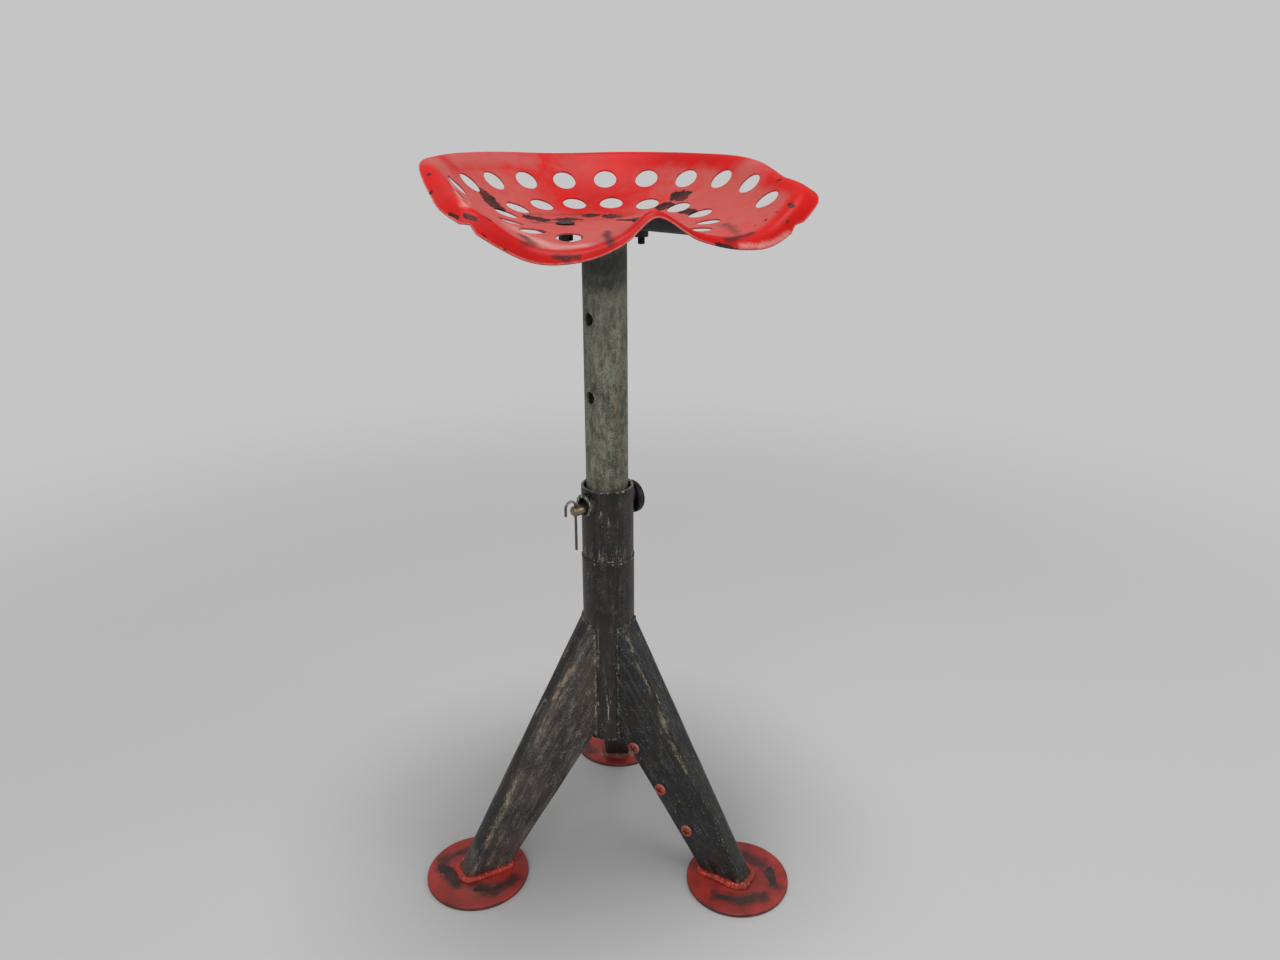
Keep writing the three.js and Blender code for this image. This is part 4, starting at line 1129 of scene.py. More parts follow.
def frame_at(turn: float) -> Matrix:
    """The stool's axis on the floor, with X turned by an angle in degrees."""
    return Matrix.Translation((AXIS.x, AXIS.y, 0)) @ Matrix.Rotation(math.radians(turn), 4, "Z")


def unevenness(piece: Piece, size: float, amount: float) -> None:
    """Moves vertices along their normals by slow noise, as hand-made steel waves a little.

    Args:
        piece: The piece.
        size: How long the waves are, in millimetres.
        amount: The most that they move a vertex by.
    """
    for vertex in piece.data.vertices:
        vertex.co += vertex.normal * (noise.noise(vertex.co / (size * MM)) * amount * MM)


# The seat


@dataclass
class Pan:
    """The pressed seat pan, in its own frame with Y to the back."""

    yaw: float = 21.5
    sheet: float = 2.0
    seat_gap: float = 0.3
    lip_bend: float = 9.0
    hole_radius: float = 13.0
    holes_per_side: int = 6
    bolt_spread: float = 84.0
    bolt_hole_radius: float = 4.7
    notches: tuple[float, float] = (128.0, 225.5)
    notch_shares: tuple[float, float] = (0.24, 0.22)
    notch_half_angle: float = 2.0
    twist: float = 2.6
    twist_reach: float = 150.0
    # Where the sheet round a hole of the front left is tipped forward: the place and the slope
    tips: tuple[tuple[float, float, float], ...] = ((-67.3, -91.8, 0.24), (-92.6, -57.3, 0.12))
    tip_reach: float = 16.0
    tip_way: tuple[float, float] = (-0.3665, -0.9304)
    rim_radius: float = 200.0
    wall_height: float = 50.0
    lip_width: float = 10.0
    # Half width, half depth, how far forward, and the step in degrees, of the two rows of holes
    rows: tuple[tuple[float, ...], ...] = ((155, 166, 31.5, 17.6), (103, 108, 10, 23.2))
    # Turn from the middle of the back; shares of the rim's radius, the wall's height and the
    # lip's width for its reach and its drop; and the power that the wall rises by
    rim_shares: tuple[tuple[float, ...], ...] = (
        (0, 0.82, 1.35, 0.6, 1.2, 3.52), (30, 0.82, 1.37, 1.05, 0.7, 3.45),
        (60, 0.8325, 1.34, 1.4, 0.3, 3.47), (85, 0.8525, 1.27, 1.5, 0.4, 3.8),
        (105, 0.885, 1.02, 1.8, 0.95, 4.16), (125, 1.0125, 0.75, 1.8, 1.25, 4.65),
        (140, 0.94, 0.06, 0.9, 1.25, 4.7), (153, 0.875, -0.05, 0.85, 1.0, 4.0),
        (166, 0.7725, 0.14, 0.75, 0.9, 2.95), (180, 0.705, 0.55, 0.75, 0.7, 2.35))
    edge_round: float = 0.7
    # How far outside the holes the rings round them lie, and the facets of both
    hole_collar: float = 2.7
    hole_facets: int = 44
    bolt_hole_collar: float = 2.0
    bolt_hole_facets: int = 20
    # The fill's triangles, and how many steps it stays away from the lip's rings and the collars
    fill_step: float = 3.3
    fill_reach: float = 230.0
    fill_gaps: tuple[float, float] = (0.6, 0.5)
    # The lip's rings and its columns, which stand closer where a notch is
    lip_loops: int = 9
    lip_inner: float = 3.5
    lip_step: float = 1.25
    notch_clearance: float = 0.6
    notch_stations: tuple[float, ...] = (-1, -0.6, -0.3, -0.12, 0.12, 0.3, 0.6, 1)
    # Half the distance over which a slope of the sheet is measured
    probe: float = 0.35

    def __post_init__(self) -> None:
        """Sets the height of the upper side's lowest place."""
        self.bottom = heights_of("seat_bar")[1] + self.seat_gap + self.sheet

    def rim(self, angle: np.ndarray) -> list[np.ndarray]:
        """Rim radius, height, lip reach, lip drop and rise at angles in degrees."""
        turn = np.minimum(np.mod(angle, 360), 360 - np.mod(angle, 360))
        table = np.array(self.rim_shares)
        keys = table[:, 0]
        at = np.clip(np.searchsorted(keys, turn, side="right") - 1, 0, len(keys) - 2)
        gap = keys[at + 1] - keys[at]
        t = (turn - keys[at]) / gap
        values = []
        for column, scale in enumerate((self.rim_radius, self.wall_height, self.lip_width,
                                        self.lip_width, 1.0), start=1):
            value = table[:, column] * scale
            slope = np.zeros(len(keys))
            slope[1:-1] = (value[2:] - value[:-2]) / (keys[2:] - keys[:-2])
            values.append((2 * t ** 3 - 3 * t ** 2 + 1) * value[at]
                          + (t ** 3 - 2 * t ** 2 + t) * gap * slope[at]
                          + (3 * t ** 2 - 2 * t ** 3) * value[at + 1]
                          + (t ** 3 - t ** 2) * gap * slope[at + 1])
        return values

    def lip_share(self, angle: np.ndarray) -> np.ndarray:
        """How much of the lip is left at an angle, where the notches take some away."""
        taken = [share * np.maximum(0, 1 - np.abs(np.mod(angle, 360) - n) / self.notch_half_angle)
                 for n, share in zip(self.notches, self.notch_shares)]
        return 1 - np.maximum.reduce(taken)

    def height(self, place: np.ndarray, notched: bool = True) -> np.ndarray:
        """Height of the upper side over the pan's bottom at places in the seat's frame."""
        x, y = place[:, 0], place[:, 1]
        angle = np.degrees(np.arctan2(-x, y))
        away = np.hypot(x, y)
        radius, height, reach, drop, rise = self.rim(angle)
        share = self.lip_share(angle) if notched else 1.0
        reach, drop = reach * share, drop * share
        start = radius - self.lip_bend
        wall = height * (away / radius) ** rise
        low = height * (start / radius) ** rise
        crest = low + height * rise * (start / radius) ** (rise - 1) / radius * self.lip_bend
        # The lip's bend is a curve from the wall over the crest to half way down the lip
        a = start - radius + reach / 2
        b = 2 * (radius - start)
        c = start - away
        root = np.sqrt(np.maximum(b * b - 4 * a * c, 0))
        t = np.clip(2 * -c / (b + root), 0, 1)
        bend = (1 - t) ** 2 * low + 2 * t * (1 - t) * crest + t ** 2 * (crest - drop / 2)
        past = np.maximum(away - radius - reach / 2, 0)
        lip = bend - past * drop / reach
        level = np.where(away < start, wall, lip) - self.twist * x * y / self.twist_reach ** 2
        for tip_x, tip_y, slope in self.tips:
            forward = (x - tip_x) * self.tip_way[0] + (y - tip_y) * self.tip_way[1]
            near = np.exp(-((x - tip_x) ** 2 + (y - tip_y) ** 2) / (2 * self.tip_reach ** 2))
            level = level - slope * forward * near
        return level

    def form(self, place: np.ndarray) -> np.ndarray:
        """Places on the upper side, in the world's millimetres."""
        flat = np.column_stack([place, self.height(place) + self.bottom])
        turn = np.array(frame_at(self.yaw))
        return flat @ turn[:3, :3].T + turn[:3, 3]

    def normal(self, place: np.ndarray) -> np.ndarray:
        """The upper side's normals."""
        falls = [(self.height(place - way, False) - self.height(place + way, False))
                 / (2 * self.probe) for way in np.eye(2) * self.probe]
        normals = np.column_stack([*falls, np.ones(len(place))])
        normals /= np.linalg.norm(normals, axis=1)[:, None]
        return normals @ np.array(frame_at(self.yaw))[:3, :3].T

    def around(self, x: float, y: float, radius: float, facets: int) -> np.ndarray:
        """A ring square to the sheet round a place, as it lies in the seat's plan."""
        turn = np.array(frame_at(self.yaw))[:3, :3]
        normal = Vector(self.normal(np.array([[x, y]]))[0] @ turn)
        first = normal.cross(Vector((0, 1, 0))).normalized()
        second = normal.cross(first)
        return np.array([(x, y) + radius * (math.cos(a) * np.array(first[:2])
                                            + math.sin(a) * np.array(second[:2]))
                         for a in circle(facets)])

    def hole(self, x: float, y: float, radius: float, collar: float, facets: int) -> Hole:
        """A hole at a place, with a ring that lies a collar's width outside it."""
        return Hole(self.around(x, y, radius + self.edge_round, facets),
                    self.around(x, y, radius + collar, facets), np.array([x, y]))

    def holes(self) -> list[Hole]:
        """The two rows of holes and the two bolt holes."""
        made = []
        for half_width, half_depth, forward, step in self.rows:
            for index in range(-self.holes_per_side, self.holes_per_side + 1):
                angle = math.radians(index * step)
                made.append(self.hole(half_width * math.sin(angle),
                                      half_depth * math.cos(angle) - forward,
                                      self.hole_radius, self.hole_collar, self.hole_facets))
        for x in (-self.bolt_spread / 2, self.bolt_spread / 2):
            made.append(self.hole(x, 0, self.bolt_hole_radius, self.bolt_hole_collar,
                                  self.bolt_hole_facets))
        return made

    def lip_rings(self) -> list[np.ndarray]:
        """Rings from the lip's edge inwards, closer together at the notches."""
        near = [n + s * self.notch_half_angle for n in self.notches for s in self.notch_stations]
        away = self.notch_half_angle + self.notch_clearance
        clear = [a for a in np.arange(0, 360, self.lip_step)
                 if min(abs(a - n) for n in self.notches) > away]
        angles = np.array(sorted([*clear, *near]))
        radius, _, reach, _, _ = self.rim(angles)
        reach = reach * self.lip_share(angles) - self.sheet / 4
        start = radius - self.lip_inner
        turn = np.radians(angles)
        rings = []
        for loop in range(self.lip_loops + 1):
            share = 1 - loop / self.lip_loops
            away = start + (radius + reach - start) * share
            rings.append(np.column_stack([-away * np.sin(turn), away * np.cos(turn)]))
        return rings

    def build(self, shop: Shop) -> Piece:
        """The pan, worn as in the photograph."""
        holes = self.holes()
        row_step = self.fill_step * math.sqrt(3) / 2
        rows = range(-int(self.fill_reach / row_step), int(self.fill_reach / row_step) + 1)
        fill = np.array([(column * self.fill_step + row % 2 * self.fill_step / 2, row * row_step)
                         for row in rows for column in rows])
        from_lip, from_collar = (share * self.fill_step for share in self.fill_gaps)
        angle = np.degrees(np.arctan2(-fill[:, 0], fill[:, 1]))
        start = self.rim(angle)[0] - self.lip_inner
        fill = fill[np.hypot(fill[:, 0], fill[:, 1]) < start - from_lip]
        for hole in holes:
            centre = self.form(hole.centre[None])[0]
            reach = np.linalg.norm(self.form(hole.collar) - centre, axis=1).max()
            away = np.linalg.norm(self.form(fill) - centre, axis=1)
            fill = fill[away > reach + from_collar]
        blank = Blank("pressed_pan", self.sheet, self.edge_round, self.form, self.normal)
        pan = blank.build([self.lip_rings()], fill, holes)
        self.wear(pan, holes, shop)
        shop.dress(pan, "post", "seat_red", ["seat_pan"], SEAT_RED, PAN_BELOW)
        return pan

    def wear(self, pan: Piece, holes: Sequence[Hole], shop: Shop) -> None:
        """Marks the pan's worn rims, its painted sheen and highlights, and the places that the
        photograph shows.

        Args:
            pan: The piece.
            holes: Its holes, whose rims are worn.
            shop: What the pieces share.
        """
        edge_fade, lip_fade, lip_paleness = 2.2, 0.9, 0.9
        rubbed, spared, spared_middle, spared_width = 0.72, 0.62, 28, 82
        clean_start, clean_end, clean_share = 126, 192, 0.9
        places = vertex_places(pan)
        near = np.full(len(places), np.inf)
        for hole in holes:
            ring = self.form(hole.rim)
            centre = ring.mean(axis=0)
            radius = np.linalg.norm(ring - centre, axis=1).mean()
            near = np.minimum(near, np.abs(np.linalg.norm(places - centre, axis=1) - radius))
        local = seen_from(places, frame_at(self.yaw))
        angle = np.degrees(np.arctan2(-local[:, 0], local[:, 1]))
        away = np.hypot(local[:, 0], local[:, 1])
        radius, _, reach, _, _ = self.rim(angle)
        from_edge = np.abs(radius + reach * self.lip_share(angle) - away)
        store(pan, Mark.EDGE, np.exp(-np.minimum(near, from_edge) / edge_fade))
        # Rubbed paint and painted sky sheen inside the bowl, kept off the middle of the back wall.
        back = np.exp(-((local[:, 0] - spared_middle) / spared_width) ** 2)
        back *= ease(local[:, 1], 20, 70)
        store(pan, Mark.RUB, ease(radius - away, 5, 13) * (rubbed - spared * back))
        paint(pan, SEAT_MARKS, shop.viewpoint)
        turn = np.mod(angle, 360)
        clean = ease(away - radius, -6, 4) * ease(turn, clean_start, 4)
        clean *= ease(turn, clean_end, -6) * clean_share
        fade(pan, Mark.RUB, clean)
        fade(pan, Mark.PALE, clean)
        # A pale line along the lip's cut edge: worn bare, and a painted highlight.
        store(pan, Mark.PALE, np.exp(-from_edge / lip_fade) * lip_paleness)


SEAT_MARKS = (
    *strokes(
        Mark.BARE, (((678, 196), (683, 196)), 7.8), (((663, 207), (667, 205)), 6.8),
        (((684, 211), (690, 212)), 6.2), (((486, 195), (491, 201), (495, 206)), 9.0),
        (((532, 218), (538, 219)), 10.4), (((564, 220), (572, 219)), 9.2),
        (((587, 216), (593, 215)), 6.6), (((609, 216), (613, 217)), 7.6),
        (((624, 220), (629, 220)), 6.8, 0.9), (((565, 257), (568, 259)), 1.4, 0.9),
        (((449, 214), (457, 217)), 1.8), (((466, 216), (475, 219)), 2.3),
        (((429, 174), (430, 175)), 1.9), (((430, 191), (431, 194)), 1.1),
        (((446, 200), (447, 201)), 1.6, 0.9), (((486, 217), (491, 221)), 1.8),
        (((479, 232), (484, 236)), 0.9, 0.9), (((501, 247), (508, 251)), 0.9, 0.9),
        (((778, 180), (781, 181)), 1.9), (((789, 204), (792, 207)), 2.3),
        (((810, 204), (813, 206)), 1.6, 0.9), (((775, 213), (779, 212)), 1.1, 0.8),
        (((763, 221), (766, 220)), 1.1, 0.8), (((752, 226), (755, 225)), 1.1, 0.8),
        (((788, 222), (802, 226)), 1.7), (((718, 244), (732, 248)), 1.8),
        (((621, 165), (622, 166)), 1.2, 0.8)),
    *strokes(
        Mark.SMUDGE, (((530, 214), (580, 214), (630, 214), (585, 221), (530, 222)), 9.0, 0.55),
        (((606, 231), (608, 237), (610, 243)), 4.6, 0.85),
        (((553, 257), (566, 258), (580, 256)), 2.4, 0.9), (((565, 258), (567, 260)), 3.6, 0.9),
        (((575, 257), (578, 258)), 3.2, 0.9), (((522, 235), (531, 244), (524, 243)), 7.0, 0.8),
        (((727, 240), (752, 233)), 4.5, 0.95), (((725, 224), (733, 230), (741, 236)), 8.0, 0.6)),
    # Painted highlights on the crests and the front lip, painted sheen in the bowl's front left,
    # and pale scuffs.
    *strokes(
        Mark.PALE, (((532, 238), (556, 247), (580, 246)), 19.0, 0.62),
        (((500, 212), (512, 226), (532, 240)), 14.0, 0.6),
        (((434, 156), (452, 184), (466, 206)), 6.0, 0.75),
        (((452, 178), (466, 200), (480, 215), (492, 232)), 7.0, 0.5),
        (((742, 246), (760, 246), (776, 242), (789, 234)), 4.5, 0.72),
        (((428, 155), (484, 152), (560, 153)), 3.0, 0.6),
        (((745, 158), (768, 170), (790, 188)), 3.0, 0.35)),
    # Rubbed paint and painted sheen in the bowl.
    *strokes(
        Mark.RUB, (((455, 158), (500, 157), (530, 160)), 15.0, 0.85),
        (((530, 160), (590, 164)), 17.0, 0.45), (((440, 165), (470, 185), (500, 220)), 22.0, 1.0),
        (((745, 170), (770, 195), (740, 222)), 20.0, 0.9),
        (((520, 240), (570, 248), (620, 225)), 18.0, 1.0)),
)


@dataclass
class Seat:
    """The seat on its post: pan, bar, bolts and the pipe they stand on."""

    post_radius: float = 24.15
    post_wall: float = 3.2
    post_hole_radius: float = 7.0
    hole_rises: tuple[float, ...] = (0.0, 128.6, 215.4)
    post_tail: float = 79.0
    pin_azimuth: float = 41.8
    # Shorter than the solid: the photograph shows light through the holes over its ends
    bar_length: float = 136.0
    bar_width: float = 50.0
    bar_corner: float = 8.0
    bar_edge: float = 0.9
    # Half the length, half the width and the step of the bar's inner vertices
    bar_grid: tuple[int, int, int] = (56, 16, 8)
    bolt_radius: float = 4.0
    bolt_clearance: float = 0.3
    thread_turns: int = 9
    thread_start: float = 0.4
    thread_pitch: float = 1.25
    thread_depth: float = 0.55
    thread_rise: float = 0.6
    head_radius: float = 10.0
    head_setdown: float = 4.6
    head_height: float = 2.6
    washer_radius: float = 8.0
    nut_width: float = 13.0
    post_edge: float = 1.0
    weld_circle: float = 25.4
    weld_setdown: float = 1.4
    weld_radius: float = 2.9
    pan: Pan = field(default_factory=Pan)

    def build(self, shop: Shop) -> None:
        """Builds every piece of the seat."""
        self.pan.build(shop)
        self.build_post(shop)
        self.build_bar(shop)
        self.build_bolts(shop)

    def build_post(self, shop: Shop) -> None:
        """The pipe with its three pairs of cross holes, and the weld at its top."""
        low, high = heights_of("post_tube")
        rises = [low + self.post_tail + rise for rise in self.hole_rises]
        post = drilled_pipe("post_pipe", self.post_radius, self.post_wall, low, high,
                            self.post_edge, self.pin_azimuth, self.post_hole_radius, rises)
        marks = (
            # The dark marks here are the seat's painted shadow over the post's top.
            *strokes(
                Mark.SMUDGE, (((583, 262), (605, 268), (622, 262)), 15.0, 1.2),
                (((583, 278), (605, 284), (622, 278)), 13.0, 0.95)),
            *strokes(
                Mark.RIDGE, (((621, 375), (618, 420), (620, 470)), 8.0, 0.9),
                (((600, 446), (604, 450)), 5.0, 0.9), (((619, 440), (624, 452)), 6.0, 1.0),
                (((590, 300), (592, 340)), 4.0, 0.5),
                (((585, 480), (605, 488), (622, 482)), 4.0, 0.5)),
        )
        paint(post, marks, shop.viewpoint)
        shop.dress(post, "post", "post_zinc", ["post_tube"], POST_ZINC, POST_ZINC)
        ring = ring_at(frame_at(0), self.weld_circle, high - self.weld_setdown, 80)
        weld = shop.weld("post_weld_bead", ring, True, self.weld_radius, WELD_STEEL, seed=3.0)
        shop.dress(weld, "post", "weld_steel", ["post_weld"], WELD_STEEL)

    def build_bar(self, shop: Shop) -> None:
        """The flat bar under the pan."""
        low, high = heights_of("seat_bar")
        edge, ring_gap, hole_gap = self.bar_edge, 3, 10
        place = frame_at(self.pan.yaw)

        def outline(inset: float) -> np.ndarray:
            """The bar's outline, inset by a distance."""
            x, y = self.bar_length / 2 - inset, self.bar_width / 2 - inset
            r = self.bar_corner - inset
            return np.array(filleted([(x, y, r), (-x, y, r), (-x, -y, r), (x, -y, r)], 8))

        def form(flat: np.ndarray) -> np.ndarray:
            """Places on the bar's upper side."""
            return np.array([place @ Vector((x, y, high)) for x, y in flat])

        def normal(flat: np.ndarray) -> np.ndarray:
            """Straight up."""
            return np.tile((0.0, 0.0, 1.0), (len(flat), 1))

        unit = np.column_stack([np.cos(circle(24)), np.sin(circle(24))])
        rim = self.pan.bolt_hole_radius + edge
        collar = rim + self.pan.bolt_hole_collar
        centres = [np.array([sign * self.pan.bolt_spread / 2, 0.0]) for sign in (-1, 1)]
        holes = [Hole(centre + unit * rim, centre + unit * collar, centre) for centre in centres]
        long, wide, step = self.bar_grid
        fill = np.array([(x, y) for x in range(-long, long + 1, step)
                         for y in range(-wide, wide + 1, step)
                         if min(math.hypot(x - c[0], y) for c in centres) > hole_gap], dtype=float)
        blank = Blank("bar_under_pan", high - low, edge, form, normal)
        bar = blank.build([[outline(edge), outline(edge + ring_gap)]], fill, holes)
        shop.dress(bar, "post", "black_steel", ["seat_bar"], BLACK_STEEL, BLACK_STEEL)

    def build_bolts(self, shop: Shop) -> None:
        """The two domed bolts with their washers and nuts."""
        low, high = heights_of("seat_bolt_left")
        radius, seat = self.bolt_radius, high - low - self.head_setdown
        thread = []
        for ridge in range(self.thread_turns):
            at = self.thread_start + ridge * self.thread_pitch
            thread += [(radius - self.thread_depth, at, 0), (radius, at + self.thread_rise, 0)]
        brim = 0.5
        dome = [(self.head_radius * math.cos(a),
                 seat + brim + (self.head_height - brim) * math.sin(a), 0)
                for a in np.radians(np.arange(4, 90, 9))]
        profile = [(0, 0, 0), (radius - 0.9, 0, 0), *thread, (radius, seat, 0),
                   (self.head_radius - 0.3, seat, 0), *dome, (0, seat + self.head_height, 0)]
        bolt = turned("bolt", profile, Matrix(), 40)
        self.set_pair(shop, "pan_bolts", bolt, "seat_bolt", BOLT_STEEL)

        low, high = heights_of("seat_washer_left")
        bore = radius + self.bolt_clearance
        washer = turned("washer", [(bore, 0, 0.2), (self.washer_radius, 0, 0.5),
                                   (self.washer_radius, high - low, 0.3), (bore, high - low, 0.2)],
                        Matrix(), 48)
        self.set_pair(shop, "pan_washers", washer, "seat_washer", BLACK_STEEL)

        low, high = heights_of("seat_nut_left")
        tall, corner = high - low, self.nut_width / math.sqrt(3)
        nut = skin("nut", [ring_at(Matrix(), corner, height, 6) for height in (0, tall)])
        inner, outer, slant = corner - 0.9, corner + 0.6, 1.0
        chamfer = turned("chamfer", [(bore, -0.2, 0), (inner, -0.01, 0), (outer, slant, 0),
                                     (outer, tall - slant, 0), (inner, tall + 0.01, 0),
                                     (bore, tall + 0.2, 0)], Matrix(), 48)
        self.set_pair(shop, "pan_nuts", carved(nut, [chamfer], "INTERSECT"), "seat_nut",
                      BLACK_STEEL)

    def set_pair(self, shop: Shop, name: str, fastener: Piece, node: str,
                 finish: PlainMetal) -> None:
        """Sets a fastener at both bolt holes.

        Args:
            shop: What the pieces share.
            name: The piece's name.
            fastener: One fastener about the origin, which is used up.
            node: What the names of its two CAD nodes start with.
            finish: Its finish.
        """
        low, _ = heights_of(f"{node}_left")
        spots = [frame_at(self.pan.yaw) @ Vector((sign * self.pan.bolt_spread / 2, 0, low))
                 for sign in (-1, 1)]
        pair = shop.fasten(name, fastener, [(spot, UP, 0.0) for spot in spots], finish)
        shop.dress(pair, "post", "black_steel", [f"{node}_left", f"{node}_right"], finish)


def drilled_pipe(name: str, radius: float, wall: float, low: float, high: float, edge: float,
                 azimuth: float, hole_radius: float, heights: Sequence[float]) -> Piece:
    """A pipe on the stool's axis with pairs of cross holes.

    Args:
        name: The piece's name.
        radius: The pipe's outer radius.
        wall: Its wall.
        low: Its lower end.
        high: Its upper end.
        edge: The rounding of its edges.
        azimuth: Which way the holes point.
        hole_radius: The holes' radius.
        heights: Their heights.

    Returns:
        The piece.
    """
    # The mesh's columns, rows and hole facets, and how far its parts lie from each other
    columns, row_height, fewest_rows, facets = 132, 4, 6, 36
    collar_gap, border_gap, band, hole_gap = 2, 2.5, 6, 5
    edge_share, wear_fade = 0.6, 2.0
    seam = math.radians(azimuth + 90)
    around = FULL_TURN * radius
    rounding = edge * edge_share

    def form(flat: np.ndarray) -> np.ndarray:
        """Places on the outside."""
        angle = seam + flat[:, 0] / radius
        return np.column_stack([AXIS.x + radius * np.cos(angle), AXIS.y + radius * np.sin(angle),
                                flat[:, 1]])

    def normal(flat: np.ndarray) -> np.ndarray:
        """Straight out of the axis."""
        angle = seam + flat[:, 0] / radius
        return np.column_stack([np.cos(angle), np.sin(angle), np.zeros(len(flat))])

    across = np.linspace(0, around, columns + 1)
    holes = []
    for height in heights:
        for middle in (around / 4, around * 3 / 4):
            rings = []
            for reach in (hole_radius + rounding, hole_radius + rounding + collar_gap):
                turn = circle(facets)
                shift = radius * np.arcsin(reach * np.sin(turn) / radius)
                rings.append(np.column_stack([middle + shift, height + reach * np.cos(turn)]))
            holes.append(Hole(*rings, np.array([middle, height])))
    borders = [[np.column_stack([across, np.full(columns + 1, at)]) for at in (end, inner)]
               for end, inner in ((low + edge, low + edge + border_gap),
                                  (high - edge, high - edge - border_gap))]
    levels = np.linspace(low + edge + band, high - edge - band,
                         max(fewest_rows, round((high - low) / row_height)))
    fill = np.array([(u, v) for v in levels for u in across
                     if all(math.dist((u, v), hole.centre) > hole_radius + hole_gap
                            for hole in holes)])
    pipe = Blank(name, wall, rounding, form, normal, wraps=True).build(borders, fill, holes)
    level = vertex_places(pipe)[:, 2]
    near = np.minimum(np.abs(level - low), np.abs(level - high))
    store(pipe, Mark.EDGE, np.exp(-near / wear_fade))
    return pipe


# The stand


@dataclass
class Leg:
    """One tapered box leg, in its own frame with X away from the stand tube."""

    name: str
    azimuth: float
    heel: float
    toe: float
    sideways: float
    seam_low: float
    seam_high: float
    tube_radius: float = 30.75
    plate: float = 5.0
    width_top: float = 37.0
    width_foot: float = 33.0
    wall: float = 3.0
    outer_corner: float = 11.0
    inner_corner: float = 4.0
    # The mesh: facets of a round, parts of a flat side and the least that is split, and stations
    round_steps: int = 8
    flank_parts: int = 8
    flank_least: float = 6.0
    stations: int = 64
    inner_stations: int = 6
    sunk_in_tube: float = 0.5
    sunk_in_plate: float = 0.4
    ridge_width: float = 5.5
    wave_length: float = 38.0
    wave_height: float = 0.35

    def __post_init__(self) -> None:
        """Works out the leg's edges and axis in its upright plane."""
        self.outer = (Vector((self.tube_radius, self.seam_high)), Vector((self.toe, self.plate)))
        self.inner = (Vector((self.tube_radius, self.seam_low)), Vector((self.heel, self.plate)))
        self.start = (self.outer[0] + self.inner[0]) / 2
        end = (self.outer[1] + self.inner[1]) / 2
        self.length = (end - self.start).length
        self.along = (end - self.start).normalized()
        self.outward = Vector((-self.along.y, self.along.x))
        self.place = frame_at(self.azimuth) @ Matrix.Translation((0, self.sideways, 0))
        steels = {"left": LEFT_LEG_STEEL, "right": RIGHT_LEG_STEEL, "rear": REAR_LEG_SHADED_STEEL}
        self.steel = steels[self.name]

    def half_width(self, along: float) -> float:
        """Half the leg's width at a distance along its axis."""
        return (self.width_top + (self.width_foot - self.width_top) * along / self.length) / 2

    def edge_offset(self, edge: tuple[Vector, Vector], along: float) -> float:
        """How far out of the axis an edge is, at a distance along the axis."""
        run = edge[1] - edge[0]
        away = edge[0] - self.start - self.along * along
        across = self.outward.x * run.y - self.outward.y * run.x
        return (away.x * run.y - away.y * run.x) / across

    def section(self, along: float, inset: float) -> tuple[list[Vector], list[float]]:
        """The section's points along the axis, and how near an outer corner each one is."""
        outer = self.edge_offset(self.outer, along) - inset
        inner = self.edge_offset(self.inner, along) + inset
        half = self.half_width(along) - inset
        big, small = max(self.outer_corner - inset, 1), max(self.inner_corner - inset, 1)
        outline = filleted([(outer, half, big), (inner, half, small), (inner, -half, small),
                            (outer, -half, big)], self.round_steps)
        flanks: list[Vector] = []
        for here, there in zip(outline, [*outline[1:], outline[0]]):
            parts = self.flank_parts if (there - here).length > self.flank_least else 1
            flanks += [here.lerp(there, part / parts) for part in range(parts)]
        centre = self.start + self.along * along
        points = [Vector((centre.x + self.outward.x * d, s, centre.y + self.outward.y * d))
                  for d, s in flanks]
        corner = Vector((outer - big, half - big))
        near = []
        for depth, side in flanks:
            offset = Vector((depth - corner.x, abs(side) - corner.y))
            gap = (offset - Vector((1, 1)).normalized() * big).length
            near.append(math.exp(-(gap / self.ridge_width) ** 2))
        return points, near

    def lines(self, inset: float) -> tuple[list[tuple[Vector, Vector]], list[float]]:
        """The leg's straight lines from tube to plate, one for each point of its section."""
        tops, near = self.section(0, inset)
        feet, _ = self.section(self.length, inset)
        made = []
        for top, foot in zip(tops, feet):
            run = foot - top
            low = top + run * ((self.plate - self.sunk_in_plate - top.z) / run.z)
            radius = self.tube_radius - self.sunk_in_tube
            a = run.x ** 2 + run.y ** 2
            side = top.y + self.sideways
            b = 2 * (top.x * run.x + side * run.y)
            c = top.x ** 2 + side ** 2 - radius ** 2
            high = top + run * ((-b + math.sqrt(max(b * b - 4 * a * c, 0))) / (2 * a))
            made.append((high, low))
        return made, near

    def build(self, shop: Shop, marks: Sequence[Stroke]) -> None:
        """The leg as a hollow shell, with its two welds.

        Args:
            shop: What the pieces share.
            marks: Its worn places.
        """
        outside, near = self.lines(0)
        inside, _ = self.lines(self.wall)
        rings = [[self.place @ high.lerp(low, s / self.stations) for high, low in outside]
                 for s in range(self.stations + 1)]
        rings += [[self.place @ low.lerp(high, s / self.inner_stations) for high, low in inside]
                  for s in range(self.inner_stations + 1)]
        leg = skin(f"leg_{self.name}_shell", rings, loop=True)
        unevenness(leg, self.wave_length, self.wave_height)
        ridge = np.zeros(len(leg.data.vertices))
        ridge[:(self.stations + 1) * len(near)] = near * (self.stations + 1)
        store(leg, Mark.RIDGE, ridge)
        paint(leg, marks, shop.viewpoint)
        shop.dress(leg, "base", "frame_steel", [f"leg_{self.name}"], self.steel)
        self.build_seam_weld(shop)
        self.build_foot_weld(shop)

    def build_seam_weld(self, shop: Shop) -> None:
        """The fillet up one flank, over the crown and down the other."""
        offset, radius = -0.3, 2.7
        crown_steps, crown_inset, flank_steps, setup = 12, 1.2, 50, 3
        ring = self.tube_radius + offset
        run = (self.outer[1] - self.outer[0]).normalized()
        half = self.half_width(0)

